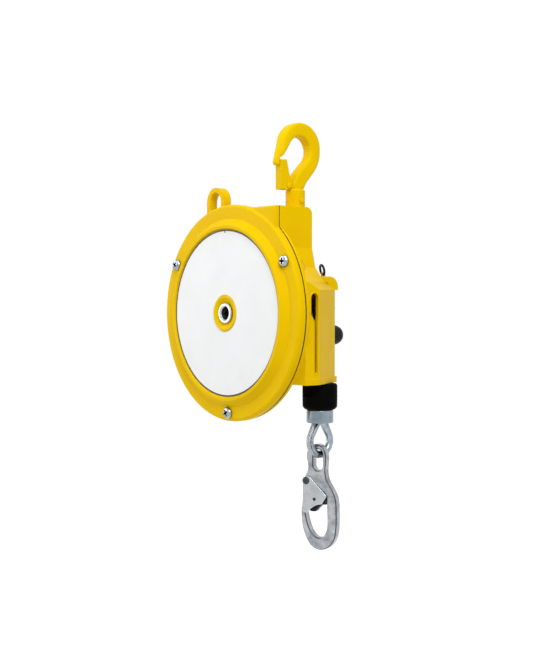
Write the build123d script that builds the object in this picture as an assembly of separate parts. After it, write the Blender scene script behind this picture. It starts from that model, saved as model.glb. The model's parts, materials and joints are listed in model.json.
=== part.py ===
from build123d import *
from math import acos, atan2, cos, degrees, pi, radians, sin, sqrt
import os

# Spring balancer. Millimetres, +Z up. While it is modelled, the drum axis is Y, the label faces -Y,
# the rope hangs on the +X side, and the cover's flat rim face lies at y = 0.
# On export all is moved so that the origin is where the top hook rests on what carries it.

# Rope and drum: the can and the cover take their radii from them
WALL = 3.0              # casting wall
ROPE_R = 2.0
ROPE_REAR_R = 60.0      # rope centre line on the drum's rear turn
CONE_RISE = 16.0        # and so much further out on its front turn
ROPE_FRONT_R = ROPE_REAR_R + CONE_RISE
DRUM_FLANGE_R = ROPE_FRONT_R + ROPE_R
DRUM_ROOM = 1.0         # from the drum to the can's wall
REAR_ROOM = 1.5         # from the rear turn to the can's wall
CAN_R = DRUM_FLANGE_R + DRUM_ROOM + WALL
CAN_REAR_R = ROPE_REAR_R + ROPE_R + REAR_ROOM + WALL
CAVITY_WALL = 5.4
SPRING_CAVITY_R = ROPE_REAR_R - CAVITY_WALL

# Cover and can
RIM_LEDGE = 11.2        # from the can's barrel to the cover's rim
RIM_R = CAN_R + RIM_LEDGE
FLANGE_STEP = 0.7       # the can's flange stays this much inside the rim
FLANGE_R = RIM_R - FLANGE_STEP
RIM_EDGE = 2.4          # round on the cover's front edge
SEAM_Y = 7.0            # parting plane of cover and can
SEAM_GAP = 0.7          # width of the visible parting groove
SEAM_DEPTH = 2.5        # and its depth
SCREW_EDGE = 7.2        # from the rim to the screws' circle
COVER_SCREW_CIRCLE = RIM_R - SCREW_EDGE
COVER_SCREW_HEAD_R = 5.1
LIP_PROUD = 5.5         # raised lip round the label
LIP_W = 2.7
SLOPE_FOOT_R = COVER_SCREW_CIRCLE - COVER_SCREW_HEAD_R
LIP_OUT_R = SLOPE_FOOT_R - LIP_PROUD
LIP_IN_R = LIP_OUT_R - LIP_W
RECESS_PROUD = 3.3      # label seat, measured from the rim face
LABEL_ROOM = 1.1
LABEL_R = LIP_IN_R - LABEL_ROOM
LABEL_T = 0.5
LABEL_HOLE_R = 15.9
FLANGE_T = 4.0
CAN_CONE_Y = 22.0       # where the can begins to taper
CAN_CONE_END_Y = 47.0
CAN_REAR_Y = 50.0

# Cover screws, pan head with a cross recess
COVER_SCREW_R = 3.0
COVER_SCREW_HEAD_H = 3.5
CROSS_L = 5.6           # recess in the screw head
CROSS_W = 1.5
COVER_SCREW_LENGTH = 16.0
SPOT_R = 6.4
COVER_SCREW_ANGLES = (30, 150, 270)

# Corner box under the top hook
BOX_LEFT = 30.0
BOX_RIGHT = 60.0
BOX_DROP = 3.7          # its top lies this far under the rim's
BOX_TOP = RIM_R - BOX_DROP
BOX_REAR = 42.8
BOX_FOOT_Z = 40.0
BOX_ROUND = 6.0
EAR_SET_BACK = 1.4      # the cover's ear starts this far behind the rim face
EAR_EDGE = 1.6

# Rope guide body on the side
ROPE_OUT = 8.0          # the rope hangs this far outside the rear turn
ROPE_X = ROPE_REAR_R + ROPE_OUT
ROPE_Y = 44.7
GUIDE_OUT = 20.0        # from the rope to the face with the keyhole window
GUIDE_FACE_X = ROPE_X + GUIDE_OUT
GUIDE_CORNER_Y = 26.3
GUIDE_REAR_X = ROPE_X - ROPE_R
GUIDE_REAR_Y = 63.6
GUIDE_ROOT_IN = 16.0
GUIDE_ROOT_X = ROPE_X - GUIDE_ROOT_IN
GUIDE_TOP_Z = 19.8      # the walls are upright up to here
GUIDE_SHOULDER_Z = 26.5
GUIDE_NECK_Z = 39.0
GUIDE_HEAD_Z = 55.0
GUIDE_FOOT_Z = -58.5
GUIDE_LIP_H = 5.0
GUIDE_LIP_OUT = 1.2
KEYHOLE_Y = 20.6
KEYHOLE_HALF = 4.0
KEYHOLE_TOP_Z = 17.0
KEYHOLE_LOW_Z = -1.0
KEYHOLE_NECK_Z = -6.0
KEYHOLE_SLOT_Y = 22.2
KEYHOLE_SLOT_HALF = 1.7
KEYHOLE_SLOT_Z = -49.0

# Safety chain eye
EYE_X = -34.0
EYE_RISE = 5.3          # centre of its round top, above the rim
EYE_Z = RIM_R + EYE_RISE
EYE_R = 12.2
EYE_HOLE_R = 7.9
EYE_LEG_DROP = 9.2      # lower end of its opening, behind the rim
EYE_LEG_Z = RIM_R - EYE_LEG_DROP
EYE_Y = 12.0
EYE_T = 8.0

# Arbor, drum and spring
ARBOR_R = 8.85
ARBOR_BORE_R = 5.5
ARBOR_FRONT_Y = -4.6
RUN_GAP = 0.05          # radial clearance of every running fit
BUSH_T = 2.0
BUSH_L = 8.0
DRUM_FRONT_Y = 12.0
DRUM_LID_T = 2.5
DRUM_WALL = 3.0
DRUM_REAR_Y = 45.0
SPRING_SLACK = 0.8      # between the spring and each end wall
ROPE_FRONT_Y = 19.5
ROPE_PITCH = 5.5
ROPE_TURNS = 4
GROOVE_GAP = 0.1
SPRING_T = 1.1
SPRING_PITCH = 2.6
SPRING_COILS = 13

# Worm adjuster behind the drum
WHEEL_TEETH = 38
MODULE = 1.0
BACKLASH = 0.24
WORM_PITCH_R = 5.0
WORM_HALF = 12.0        # half the threaded length
WORM_Y = 77.5
WHEEL_T = 8.0
CASE_R = 37.0
CASE_ROOT_R = 43.0
CASE_REAR_Y = 86.0
CASE_LID_T = 3.0
LID_SCREW_EDGE = 3.5
LID_SCREW_CIRCLE = CASE_R - LID_SCREW_EDGE
CASE_BORE_R = LID_SCREW_CIRCLE - LID_SCREW_EDGE
HOOD_LEFT = -24.0
HOOD_RIGHT = 40.0
HOOD_BOTTOM_Z = 20.2
HOOD_TOP_Z = 32.0
HOOD_REAR_Y = 91.5
HOOD_ROUND = 9.5
WORM_SHAFT_R = 2.9
WORM_KEY_AF = 4.0        # hexagon socket in the worm shaft
LOCK_X = 36.0
LOCK_PIN_R = 2.0
RING_R = 4.6
RING_WIRE_R = 0.85
RING_TURN = -20.0       # the ring stands turned about its pin, and leans
RING_LEAN = 12.0
LID_SCREW_HEAD_R = 2.8
LID_SCREW_R = 1.5
LID_SCREW_ANGLES = (7, 187, 277, 232, 322)

# Drum stop knob
STOP_INSET = 10.0       # its pin enters the drum this far inside the rear turn
KNOB_X = ROPE_REAR_R - STOP_INSET
KNOB_Z = -19.0
KNOB_R = 8.4
KNOB_Y = 68.0
KNOB_L = 16.5
STOP_PIN_R = 2.5
STOP_BOSS_R = 6.5
STOP_TRAVEL = 3.5
STOP_HOLES = 8

# Top hook
HOOK_X = 50.0
HOOK_Y = 32.7
HOOK_T = 11.0
HOOK_EDGE = 1.0
TIP_T = 3.0             # its thickness narrows to this at the tip
SHANK_R = 6.0
SHANK_DEPTH = 5.5       # the shank reaches this far into the box
SHANK_BOTTOM_Z = BOX_TOP - SHANK_DEPTH
BOSS_R = 8.2
BOSS_RISE = 15.5
BOSS_TOP_Z = BOX_TOP + BOSS_RISE
RETAINER_RISE = 5.5
RETAINER_Z = BOX_TOP + RETAINER_RISE
RETAINER_R = 1.8
REST_Y = 34.0           # centre of the hook's bowl
REST_RISE = 32.3
REST_Z = BOSS_TOP_Z + REST_RISE
BOWL_R = 11.5
LATCH_Y = 23.0
LATCH_RISE = 2.2
LATCH_Z = BOSS_TOP_Z + LATCH_RISE
LATCH_W = 6.8
LATCH_SHEET = 1.2
LATCH_PIN_R = 1.6
LATCH_L = 21.6
LATCH_FRONT = 9.3       # from its pivot to the outside of its web
LUG_T = 4.2

# Rope end
BUMPER_R = 14.75
BUMPER_TOP_Z = -58.8
BUMPER_BOTTOM_Z = -80.9
SLEEVE_R = 11.3
SLEEVE_BOTTOM_Z = -92.0
SLEEVE_BORE_R = 9.4
LOOP_Z = -107.7         # centre of the rope eye
LOOP_R = 12.6           # rope centre line round the thimble
LOOP_TOP_Z = -84.0      # the two rope legs part here
THIMBLE_IN = 1.6        # thimble's own centre line lies this much further in
THIMBLE_R = 2.9
THIMBLE_TOP_Z = -91.0
LEG_HALF = 2.3          # half the spacing of the two rope legs in the ferrule
FERRULE_R = 5.2
FERRULE_TOP_Z = -70.0
FERRULE_BOTTOM_Z = -83.5
GUIDE_BUSH_R = 7.0
EXIT_Z = -46.0          # where the rope straightens above the exit bush
TAIL_L = 15.0           # straight rope that turns with the drum
LEAD_START = 30.0       # from here on the straight rope stays with the can
ROPE_GAP = 0.3

# Snap hook
SNAP_TURN = 21.0        # the flat hook is turned about the rope
SNAP_T = 8.0
SNAP_EYE_EDGE = 1.4     # bevel round the eye, so that it rocks on the thimble
SNAP_EYE_U = -0.1       # middle of the eye's hole, across and up
SNAP_EYE_Z = -123.4
SNAP_EYE_W = 9.0
SNAP_EYE_L = 18.0
GATE_SHEET = 1.5
GATE_GAP = 0.3
GATE_U = -10.3          # gate pivot, across and up in the hook's plane
GATE_Z = -141.1
GATE_PIN_R = 2.4
LEVER_U = -2.5
LEVER_Z = -156.5
LEVER_PIN_R = 1.5
LEVER_T = 6.0


def turned(points, close=True):
    """A body of revolution about Y from points (radius, y)."""
    return revolve(make_face(Polyline(*points, close=close)), Axis.Y)


def prism(sketch, y0, y1):
    """An outline in X and Z, run from y0 to y1."""
    return extrude(Plane.XZ.offset(-y0) * sketch, -(y1 - y0))


def rod(radius, start, end):
    """A round bar between two points."""
    a, b = Vector(*start), Vector(*end)
    return extrude(Plane(a, z_dir=b - a) * Circle(radius), (b - a).length)


def polar(radius, angle):
    """X and Z of a point at an angle on a circle about the drum axis."""
    return radius * cos(radians(angle)), radius * sin(radians(angle))


def outline(*pieces):
    """A face from lines and arcs that follow each other."""
    return make_face(Wire(list(pieces)))


def ear_outline(inset=0.0):
    """The corner box seen from the front."""
    width = BOX_RIGHT - BOX_LEFT - 2 * inset
    height = BOX_TOP - BOX_FOOT_Z - inset
    return Pos((BOX_LEFT + BOX_RIGHT) / 2, BOX_FOOT_Z + height / 2) * Rectangle(width, height)


def front_edge(edge):
    """The outer edge of the cover's flat rim face."""
    middle = edge.position_at(0.5)
    return abs(middle.Y) < 0.01 and sqrt(middle.X ** 2 + middle.Z ** 2) > RIM_R - 0.01


def front_cover():
    """Cast cover: rim, sloping shoulder, label seat, centre boss and the box's front ear."""
    shell = turned([
        (ARBOR_R + RUN_GAP, -RECESS_PROUD + 1.2), (LABEL_HOLE_R - 2.5, -RECESS_PROUD - 1.2),
        (LABEL_HOLE_R - 0.6, -RECESS_PROUD - 1.2), (LABEL_HOLE_R - 0.2, -RECESS_PROUD),
        (LIP_IN_R - 0.6, -RECESS_PROUD), (LIP_IN_R, -LIP_PROUD), (LIP_OUT_R, -LIP_PROUD),
        (SLOPE_FOOT_R, 0), (RIM_R, 0), (RIM_R, SEAM_Y - SEAM_GAP),
        (RIM_R - SEAM_DEPTH, SEAM_Y - SEAM_GAP), (RIM_R - SEAM_DEPTH, SEAM_Y), (CAN_R - WALL, SEAM_Y),
        (CAN_R - WALL, WALL),
        (SLOPE_FOOT_R - WALL, WALL), (LIP_OUT_R - WALL, WALL - RECESS_PROUD),
        (ARBOR_R + BUSH_T + WALL, WALL - RECESS_PROUD), (ARBOR_R + BUSH_T + WALL, SEAM_Y),
        (ARBOR_R + RUN_GAP, SEAM_Y),
    ])
    shell = fillet(shell.edges().filter_by(front_edge), RIM_EDGE)
    ear = prism(ear_outline(), EAR_SET_BACK, SEAM_Y - SEAM_GAP)
    ear = fillet(ear.edges().group_by(Axis.Y)[0].sort_by(Axis.Z)[1:], EAR_EDGE)
    ear += prism(ear_outline(SEAM_DEPTH), SEAM_Y - SEAM_GAP, SEAM_Y)
    ear -= turned([(0, -1), (RIM_R - 2 * WALL, -1), (RIM_R - 2 * WALL, SEAM_Y + 1), (0, SEAM_Y + 1)])
    body = shell + ear
    for angle in COVER_SCREW_ANGLES:
        x, z = polar(COVER_SCREW_CIRCLE, angle)
        body -= rod(SPOT_R, (x, -LIP_PROUD, z), (x, 0, z))
        body -= rod(COVER_SCREW_R + 0.2, (x, -1, z), (x, SEAM_Y + 1, z))
    return body


def nameplate():
    """Round label plate in the cover's recess."""
    ring = turned([
        (LABEL_HOLE_R, -RECESS_PROUD), (LABEL_R, -RECESS_PROUD),
        (LABEL_R, -RECESS_PROUD - LABEL_T), (LABEL_HOLE_R, -RECESS_PROUD - LABEL_T)])
    return ring


def cover_screws():
    """Three pan head screws through the cover into the can's flange."""
    screws = []
    for angle in COVER_SCREW_ANGLES:
        x, z = polar(COVER_SCREW_CIRCLE, angle)
        head = rod(COVER_SCREW_HEAD_R, (x, -COVER_SCREW_HEAD_H, z), (x, 0, z))
        head = fillet(head.edges().sort_by(Axis.Y)[0], 1.6)
        shank = rod(COVER_SCREW_R, (x, 0, z), (x, COVER_SCREW_LENGTH - COVER_SCREW_HEAD_H, z))
        cross = Pos(x, -COVER_SCREW_HEAD_H, z) * (Box(CROSS_L, 4.4, CROSS_W) + Box(CROSS_W, 4.4, CROSS_L))
        screws.append(head + shank - cross)
    return Compound(screws)


def guide_section(z, points):
    """A level section of the rope guide body."""
    return Pos(0, 0, z) * make_face(Polyline(*points, close=True))


def guide_body(inset=0.0):
    """Rope guide: upright walls, then a roof of flat facets that runs up to the corner box."""
    face_x = GUIDE_FACE_X - inset
    corner_y = GUIDE_CORNER_Y - inset * 0.5
    rear_x = GUIDE_REAR_X - inset * 0.5
    rear_y = GUIDE_REAR_Y - inset
    root_x = GUIDE_ROOT_X + inset
    front_y = SEAM_Y + FLANGE_T + inset
    upright = [(root_x, front_y), (face_x, front_y), (face_x, corner_y), (rear_x, rear_y), (root_x, rear_y)]
    shoulder = [(root_x, front_y), (face_x, front_y), (face_x, front_y + 1.5),
                (ROPE_X + 6 - inset, 43.6 - inset), (root_x, 50 - inset)]
    neck = [(root_x, front_y), (ROPE_X + 1 - inset, front_y), (ROPE_X - 2 - inset, 30),
            (ROPE_X - 4 - inset, BOX_REAR - inset), (root_x, 44 - inset)]
    head = [(root_x, front_y), (BOX_RIGHT - inset, front_y), (BOX_RIGHT - inset, 30),
            (BOX_RIGHT - inset, BOX_REAR - inset), (root_x, BOX_REAR - inset)]
    lower = extrude(guide_section(GUIDE_FOOT_Z + inset, upright), GUIDE_TOP_Z - GUIDE_FOOT_Z - inset)
    if inset:
        return lower
    roof = loft([guide_section(GUIDE_TOP_Z, upright), guide_section(GUIDE_SHOULDER_Z, shoulder)], ruled=True)
    gable = loft([guide_section(GUIDE_SHOULDER_Z, shoulder), guide_section(GUIDE_NECK_Z, neck)], ruled=True)
    cheek = loft([guide_section(GUIDE_NECK_Z, neck), guide_section(GUIDE_HEAD_Z, head)], ruled=True)
    out = GUIDE_LIP_OUT
    lip_points = [(root_x, front_y), (face_x + 0.2, front_y), (face_x + 0.2, corner_y),
                  (rear_x + out, rear_y + out), (root_x, rear_y + out)]
    lip = extrude(guide_section(GUIDE_FOOT_Z, lip_points), GUIDE_LIP_H)
    return lower + roof + gable + cheek + lip


def keyhole():
    """Window over the drum with a narrow slot below it."""
    top_z = KEYHOLE_TOP_Z - KEYHOLE_HALF
    left, right = KEYHOLE_Y - KEYHOLE_HALF, KEYHOLE_Y + KEYHOLE_HALF
    slot_left, slot_right = KEYHOLE_SLOT_Y - KEYHOLE_SLOT_HALF, KEYHOLE_SLOT_Y + KEYHOLE_SLOT_HALF
    slot_z = KEYHOLE_SLOT_Z + KEYHOLE_SLOT_HALF
    face = outline(
        Line((right, KEYHOLE_LOW_Z), (right, top_z)),
        ThreePointArc((right, top_z), (KEYHOLE_Y, KEYHOLE_TOP_Z), (left, top_z)),
        Line((left, top_z), (left, KEYHOLE_LOW_Z)),
        Line((left, KEYHOLE_LOW_Z), (slot_left, KEYHOLE_NECK_Z)),
        Line((slot_left, KEYHOLE_NECK_Z), (slot_left, slot_z)),
        ThreePointArc((slot_left, slot_z), (KEYHOLE_SLOT_Y, KEYHOLE_SLOT_Z), (slot_right, slot_z)),
        Line((slot_right, slot_z), (slot_right, KEYHOLE_NECK_Z)),
        Line((slot_right, KEYHOLE_NECK_Z), (right, KEYHOLE_LOW_Z)),
    )
    return extrude(Plane.YZ.offset(GUIDE_FACE_X - 2 * WALL) * face, 4 * WALL)


def rear_housing():
    """Cast can with flange, corner box, rope guide, chain eye, gear case and stop boss."""
    can = turned([
        (0, SEAM_Y), (FLANGE_R, SEAM_Y), (FLANGE_R, SEAM_Y + FLANGE_T), (CAN_R, SEAM_Y + FLANGE_T + 1.5),
        (CAN_R, CAN_CONE_Y), (CAN_REAR_R, CAN_CONE_END_Y), (CAN_REAR_R - 4, CAN_REAR_Y),
        (CASE_ROOT_R, CAN_REAR_Y), (CASE_R, CASE_REAR_Y), (0, CASE_REAR_Y)])
    box = prism(ear_outline(), SEAM_Y, BOX_REAR)
    box = fillet(box.edges().filter_by(Axis.X).sort_by(Axis.Z)[-1], BOX_ROUND)
    hood = Pos((HOOD_LEFT + HOOD_RIGHT) / 2, (CAN_REAR_Y + HOOD_REAR_Y) / 2 + 4,
               (HOOD_BOTTOM_Z + HOOD_TOP_Z) / 2) * Box(
        HOOD_RIGHT - HOOD_LEFT, HOOD_REAR_Y - CAN_REAR_Y - 8, HOOD_TOP_Z - HOOD_BOTTOM_Z)
    hood = fillet(hood.edges().filter_by(Axis.X).sort_by(lambda e: -e.center().Y - e.center().Z)[0],
                  HOOD_ROUND)
    eye = prism(Pos(EYE_X, EYE_Z) * Circle(EYE_R)
                + Pos(EYE_X, EYE_Z - 14) * Rectangle(2 * EYE_R, 28), EYE_Y, EYE_Y + EYE_T)
    socket = rod(BOSS_R, (HOOK_X, HOOK_Y, SHANK_BOTTOM_Z - WALL), (HOOK_X, HOOK_Y, BOSS_TOP_Z))
    socket = chamfer(socket.edges().sort_by(Axis.Z)[-1], 1.6)
    stop = rod(STOP_BOSS_R, (KNOB_X, CAN_REAR_Y - WALL, KNOB_Z), (KNOB_X, KNOB_Y - STOP_TRAVEL - 0.5, KNOB_Z))
    body = can + box + guide_body() + hood + eye + stop
    inside = turned([
        (0, SEAM_Y - 1), (CAN_R - WALL, SEAM_Y - 1), (CAN_R - WALL, CAN_CONE_Y),
        (CAN_REAR_R - WALL, CAN_CONE_END_Y - 1), (CAN_REAR_R - WALL, CAN_REAR_Y - WALL),
        (0, CAN_REAR_Y - WALL)])
    pocket = prism(Pos((BOX_LEFT + BOX_RIGHT) / 2, 62) * Rectangle(BOX_RIGHT - BOX_LEFT - 2 * WALL, 36),
                   SEAM_Y + FLANGE_T, BOX_REAR - WALL)
    body = body - inside - pocket - guide_body(WALL) - keyhole()
    body += socket
    body -= rod(SHANK_R + RUN_GAP, (HOOK_X, HOOK_Y, SHANK_BOTTOM_Z), (HOOK_X, HOOK_Y, BOSS_TOP_Z + 1))
    body -= rod(RETAINER_R, (HOOK_X + 3, HOOK_Y, RETAINER_Z), (HOOK_X + 9, HOOK_Y, RETAINER_Z))
    opening = EYE_Z + EYE_HOLE_R - EYE_LEG_Z
    body -= prism(Pos(EYE_X, EYE_LEG_Z + opening / 2) * SlotOverall(opening, 2 * EYE_HOLE_R, rotation=90),
                  EYE_Y - 0.5, EYE_Y + EYE_T + 1)
    body -= rod(ARBOR_R + RUN_GAP, (0, CAN_REAR_Y - WALL - 1, 0), (0, CASE_REAR_Y + 1, 0))
    body -= rod(CASE_BORE_R, (0, WORM_Y - WHEEL_T, 0), (0, CASE_REAR_Y + 1, 0))
    worm_z = worm_axis_z()
    room = MODULE + WORM_PITCH_R + 0.3
    body -= rod(room, (-WORM_HALF - 1, WORM_Y, worm_z), (WORM_HALF + 1, WORM_Y, worm_z))
    body -= rod(WORM_SHAFT_R + RUN_GAP, (HOOD_LEFT + WALL, WORM_Y, worm_z), (HOOD_RIGHT + 1, WORM_Y, worm_z))
    body -= rod(STOP_PIN_R + RUN_GAP, (KNOB_X, CAN_REAR_Y - WALL - 1, KNOB_Z), (KNOB_X, KNOB_Y, KNOB_Z))
    body -= rod(LOCK_PIN_R + RUN_GAP, (LOCK_X, WORM_Y, worm_z), (LOCK_X, WORM_Y, HOOD_TOP_Z + 1))
    body -= rod(GUIDE_BUSH_R, (ROPE_X, ROPE_Y, GUIDE_FOOT_Z - 1), (ROPE_X, ROPE_Y, GUIDE_FOOT_Z + 2 * WALL))
    for angle in COVER_SCREW_ANGLES:
        x, z = polar(COVER_SCREW_CIRCLE, angle)
        body += rod(COVER_SCREW_HEAD_R, (x, SEAM_Y, z), (x, SEAM_Y + 7, z)) - inside
        body -= rod(COVER_SCREW_R, (x, SEAM_Y - 1, z), (x, SEAM_Y + 6, z))
    for angle in LID_SCREW_ANGLES:
        x, z = polar(LID_SCREW_CIRCLE, angle)
        body -= rod(LID_SCREW_R, (x, CASE_REAR_Y - 8, z), (x, CASE_REAR_Y + 1, z))
    return body


def worm_axis_z():
    """Height of the worm above the drum axis."""
    return WORM_PITCH_R + MODULE * WHEEL_TEETH / 2


def case_lid():
    """Flat lid over the worm wheel, cut away round the hood."""
    plate = rod(CASE_R, (0, CASE_REAR_Y, 0), (0, CASE_REAR_Y + CASE_LID_T, 0))
    plate -= Pos(8, CASE_REAR_Y, HOOD_BOTTOM_Z + 14.9) * Box(64, 20, 30)
    plate -= rod(ARBOR_R + 0.4, (0, CASE_REAR_Y - 1, 0), (0, CASE_REAR_Y + 9, 0))
    for angle in LID_SCREW_ANGLES:
        x, z = polar(LID_SCREW_CIRCLE, angle)
        plate -= rod(LID_SCREW_R, (x, CASE_REAR_Y - 1, z), (x, CASE_REAR_Y + 9, z))
    return plate


def lid_screws():
    """Socket head screws of the gear case lid."""
    screws = []
    face = CASE_REAR_Y + CASE_LID_T
    for angle in LID_SCREW_ANGLES:
        x, z = polar(LID_SCREW_CIRCLE, angle)
        head = rod(LID_SCREW_HEAD_R, (x, face, z), (x, face + 3, z))
        head -= rod(1.4, (x, face + 1.2, z), (x, face + 4, z))
        screws.append(head + rod(LID_SCREW_R - 0.02, (x, face - 8, z), (x, face, z)))
    return Compound(screws)


def arbor():
    """Hollow shaft that holds the spring's inner end; its front end shows in the cover."""
    rear = CASE_REAR_Y + CASE_LID_T + 1
    tube = turned([
        (ARBOR_BORE_R + 1.2, ARBOR_FRONT_Y), (ARBOR_R - 0.8, ARBOR_FRONT_Y), (ARBOR_R, ARBOR_FRONT_Y + 0.8),
        (ARBOR_R, rear), (ARBOR_BORE_R, rear), (ARBOR_BORE_R, ARBOR_FRONT_Y + 1.2)])
    return tube


def bushes():
    """Bronze bushes in the drum's hub, one at each end."""
    r0, r1 = ARBOR_R + RUN_GAP, ARBOR_R + BUSH_T
    rings = []
    for y in (DRUM_FRONT_Y, DRUM_REAR_Y - BUSH_L):
        rings.append(turned([(r0, y), (r1, y), (r1, y + BUSH_L), (r0, y + BUSH_L)]))
    return Compound(rings)


def drum():
    """Conical grooved drum with the spring cavity inside."""
    hub = ARBOR_R + BUSH_T
    rear = ROPE_FRONT_Y + ROPE_PITCH * ROPE_TURNS
    slope = atan2(ROPE_FRONT_R - ROPE_REAR_R, ROPE_PITCH * ROPE_TURNS)
    seat_drop = (ROPE_R + GROOVE_GAP) / cos(slope)
    front = DRUM_FRONT_Y + DRUM_LID_T
    body = turned([
        (SPRING_CAVITY_R, front), (DRUM_FLANGE_R, front), (DRUM_FLANGE_R, front + 1.5),
        (ROPE_FRONT_R - seat_drop, front + 1.5), (ROPE_FRONT_R - seat_drop, ROPE_FRONT_Y),
        (ROPE_REAR_R - seat_drop, rear), (ROPE_REAR_R - seat_drop, DRUM_REAR_Y), (hub, DRUM_REAR_Y),
        (hub, DRUM_REAR_Y - BUSH_L), (hub + DRUM_WALL, DRUM_REAR_Y - BUSH_L),
        (hub + DRUM_WALL, DRUM_REAR_Y - DRUM_WALL), (SPRING_CAVITY_R, DRUM_REAR_Y - DRUM_WALL)])
    for hole in range(STOP_HOLES):
        x, z = polar(sqrt(KNOB_X ** 2 + KNOB_Z ** 2), stop_angle() + 360 * hole / STOP_HOLES)
        body -= rod(STOP_PIN_R + 0.5, (x, DRUM_REAR_Y - DRUM_WALL - 1, z), (x, DRUM_REAR_Y + 1, z))
    return body


def stop_angle():
    """Angle of the stop pin about the drum axis."""
    return degrees(atan2(KNOB_Z, KNOB_X))


def drum_lid():
    """Front plate that shuts the spring in."""
    hub = ARBOR_R + BUSH_T
    return turned([
        (hub, DRUM_FRONT_Y), (DRUM_FLANGE_R, DRUM_FRONT_Y), (DRUM_FLANGE_R, DRUM_FRONT_Y + DRUM_LID_T),
        (hub + DRUM_WALL, DRUM_FRONT_Y + DRUM_LID_T), (hub + DRUM_WALL, DRUM_FRONT_Y + BUSH_L),
        (hub, DRUM_FRONT_Y + BUSH_L)])


def mainspring():
    """Spiral strip: half turns of growing radius, closed on itself by its thickness."""
    front = DRUM_FRONT_Y + DRUM_LID_T + SPRING_SLACK
    rear = DRUM_REAR_Y - DRUM_WALL - SPRING_SLACK
    inner = ARBOR_R + BUSH_T + DRUM_WALL + 1.0
    edges_out, edges_in = [], []
    step = SPRING_PITCH / 2
    outer_first = SPRING_CAVITY_R - 0.3
    centre = 0.0
    right = outer_first
    for half in range(2 * SPRING_COILS):
        side = 1 if half % 2 == 0 else -1
        radius = outer_first - step * half / 2
        start = Vector(centre + side * radius, 0)
        middle = Vector(centre, side * radius)
        end = Vector(centre - side * radius, 0)
        edges_out.append(ThreePointArc(start, middle, end))
        thin = radius - SPRING_T
        edges_in.append(ThreePointArc(Vector(centre + side * thin, 0), Vector(centre, side * thin),
                                      Vector(centre - side * thin, 0)))
        centre = centre - side * step / 2
    pieces = edges_out + [Line(edges_out[-1] @ 1, edges_in[-1] @ 1)] + edges_in + [
        Line(edges_in[0] @ 0, edges_out[0] @ 0)]
    return prism(make_face(Wire(pieces)), front, rear)


def leave_angle():
    """Angle on the drum's rear turn where the rope leaves for the exit."""
    away = sqrt(ROPE_X ** 2 + EXIT_Z ** 2)
    return atan2(EXIT_Z, ROPE_X) + acos(ROPE_REAR_R / away)


def leave_point():
    """Point of the rope's centre line where it leaves the drum."""
    angle = leave_angle()
    rear = ROPE_FRONT_Y + ROPE_PITCH * ROPE_TURNS
    return Vector(ROPE_REAR_R * cos(angle), rear, ROPE_REAR_R * sin(angle))


def wound(radius):
    """A round strand along the drum's conical helix, from its rear turn to the front."""
    height = ROPE_PITCH * ROPE_TURNS
    cone = degrees(atan2(ROPE_FRONT_R - ROPE_REAR_R, height))
    rear = ROPE_FRONT_Y + height
    coil = Helix(ROPE_PITCH, height, ROPE_REAR_R, center=(0, rear, 0), direction=(0, -1, 0), cone_angle=cone)
    start = coil @ 0
    turn = degrees(atan2(start.Z, start.X)) - degrees(leave_angle())
    coil = Rot(0, turn, 0) * coil
    return sweep(Plane(coil @ 0, z_dir=coil % 0) * Circle(radius), path=coil, is_frenet=True)


def rope_on_drum():
    """Rope wound on the cone, from its front anchor to a short straight where it leaves."""
    strand = wound(ROPE_R)
    leave = leave_point()
    towards = (Vector(ROPE_X, ROPE_Y, EXIT_Z) - leave).normalized()
    tail = rod(ROPE_R, leave, leave + towards * TAIL_L)
    return strand + tail


def rope_lead():
    """Rope from the drum to the exit, where it straightens to hang."""
    leave = leave_point()
    corner = Vector(ROPE_X, ROPE_Y, EXIT_Z)
    towards = (corner - leave).normalized()
    start = leave + towards * (LEAD_START + ROPE_GAP)
    path = FilletPolyline(start, corner, Vector(ROPE_X, ROPE_Y, GUIDE_FOOT_Z), radius=30)
    return sweep(Plane(path @ 0, z_dir=path % 0) * Circle(ROPE_R), path=path)


def rope_run():
    """Rope between the exit and the bumper; it grows as the rope is pulled out."""
    return rod(ROPE_R, (ROPE_X, ROPE_Y, GUIDE_FOOT_Z - ROPE_GAP), (ROPE_X, ROPE_Y, FERRULE_TOP_Z + ROPE_GAP))


def rope_anchor():
    """Ball swaged on the rope's inner end, in a pocket of the drum's front flange."""
    x, z = polar(ROPE_FRONT_R - 8.0, degrees(leave_angle()))
    return rod(3.4, (x, DRUM_FRONT_Y - 3.0, z), (x, DRUM_FRONT_Y - 0.02, z))


def guide_bush():
    """Flared plastic bush at the exit."""
    top = GUIDE_FOOT_Z + 2 * WALL
    ring = rod(GUIDE_BUSH_R, (ROPE_X, ROPE_Y, GUIDE_FOOT_Z), (ROPE_X, ROPE_Y, top))
    ring -= rod(ROPE_R + 0.6, (ROPE_X, ROPE_Y, GUIDE_FOOT_Z - 1), (ROPE_X, ROPE_Y, top + 1))
    return chamfer(ring.edges().filter_by(GeomType.CIRCLE).sort_by(SortBy.RADIUS)[:2], 1.5)


def bumper():
    """Rubber stop round the rope above the sleeve."""
    body = rod(BUMPER_R, (ROPE_X, ROPE_Y, BUMPER_BOTTOM_Z), (ROPE_X, ROPE_Y, BUMPER_TOP_Z))
    body = fillet(body.edges().sort_by(Axis.Z)[0], 3.0)
    body = fillet(body.edges().sort_by(Axis.Z)[-1], 1.5)
    body -= rod(FERRULE_R, (ROPE_X, ROPE_Y, BUMPER_BOTTOM_Z - 1), (ROPE_X, ROPE_Y, FERRULE_TOP_Z))
    return body - rod(ROPE_R + 0.6, (ROPE_X, ROPE_Y, FERRULE_TOP_Z - 1), (ROPE_X, ROPE_Y, BUMPER_TOP_Z + 1))


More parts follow.
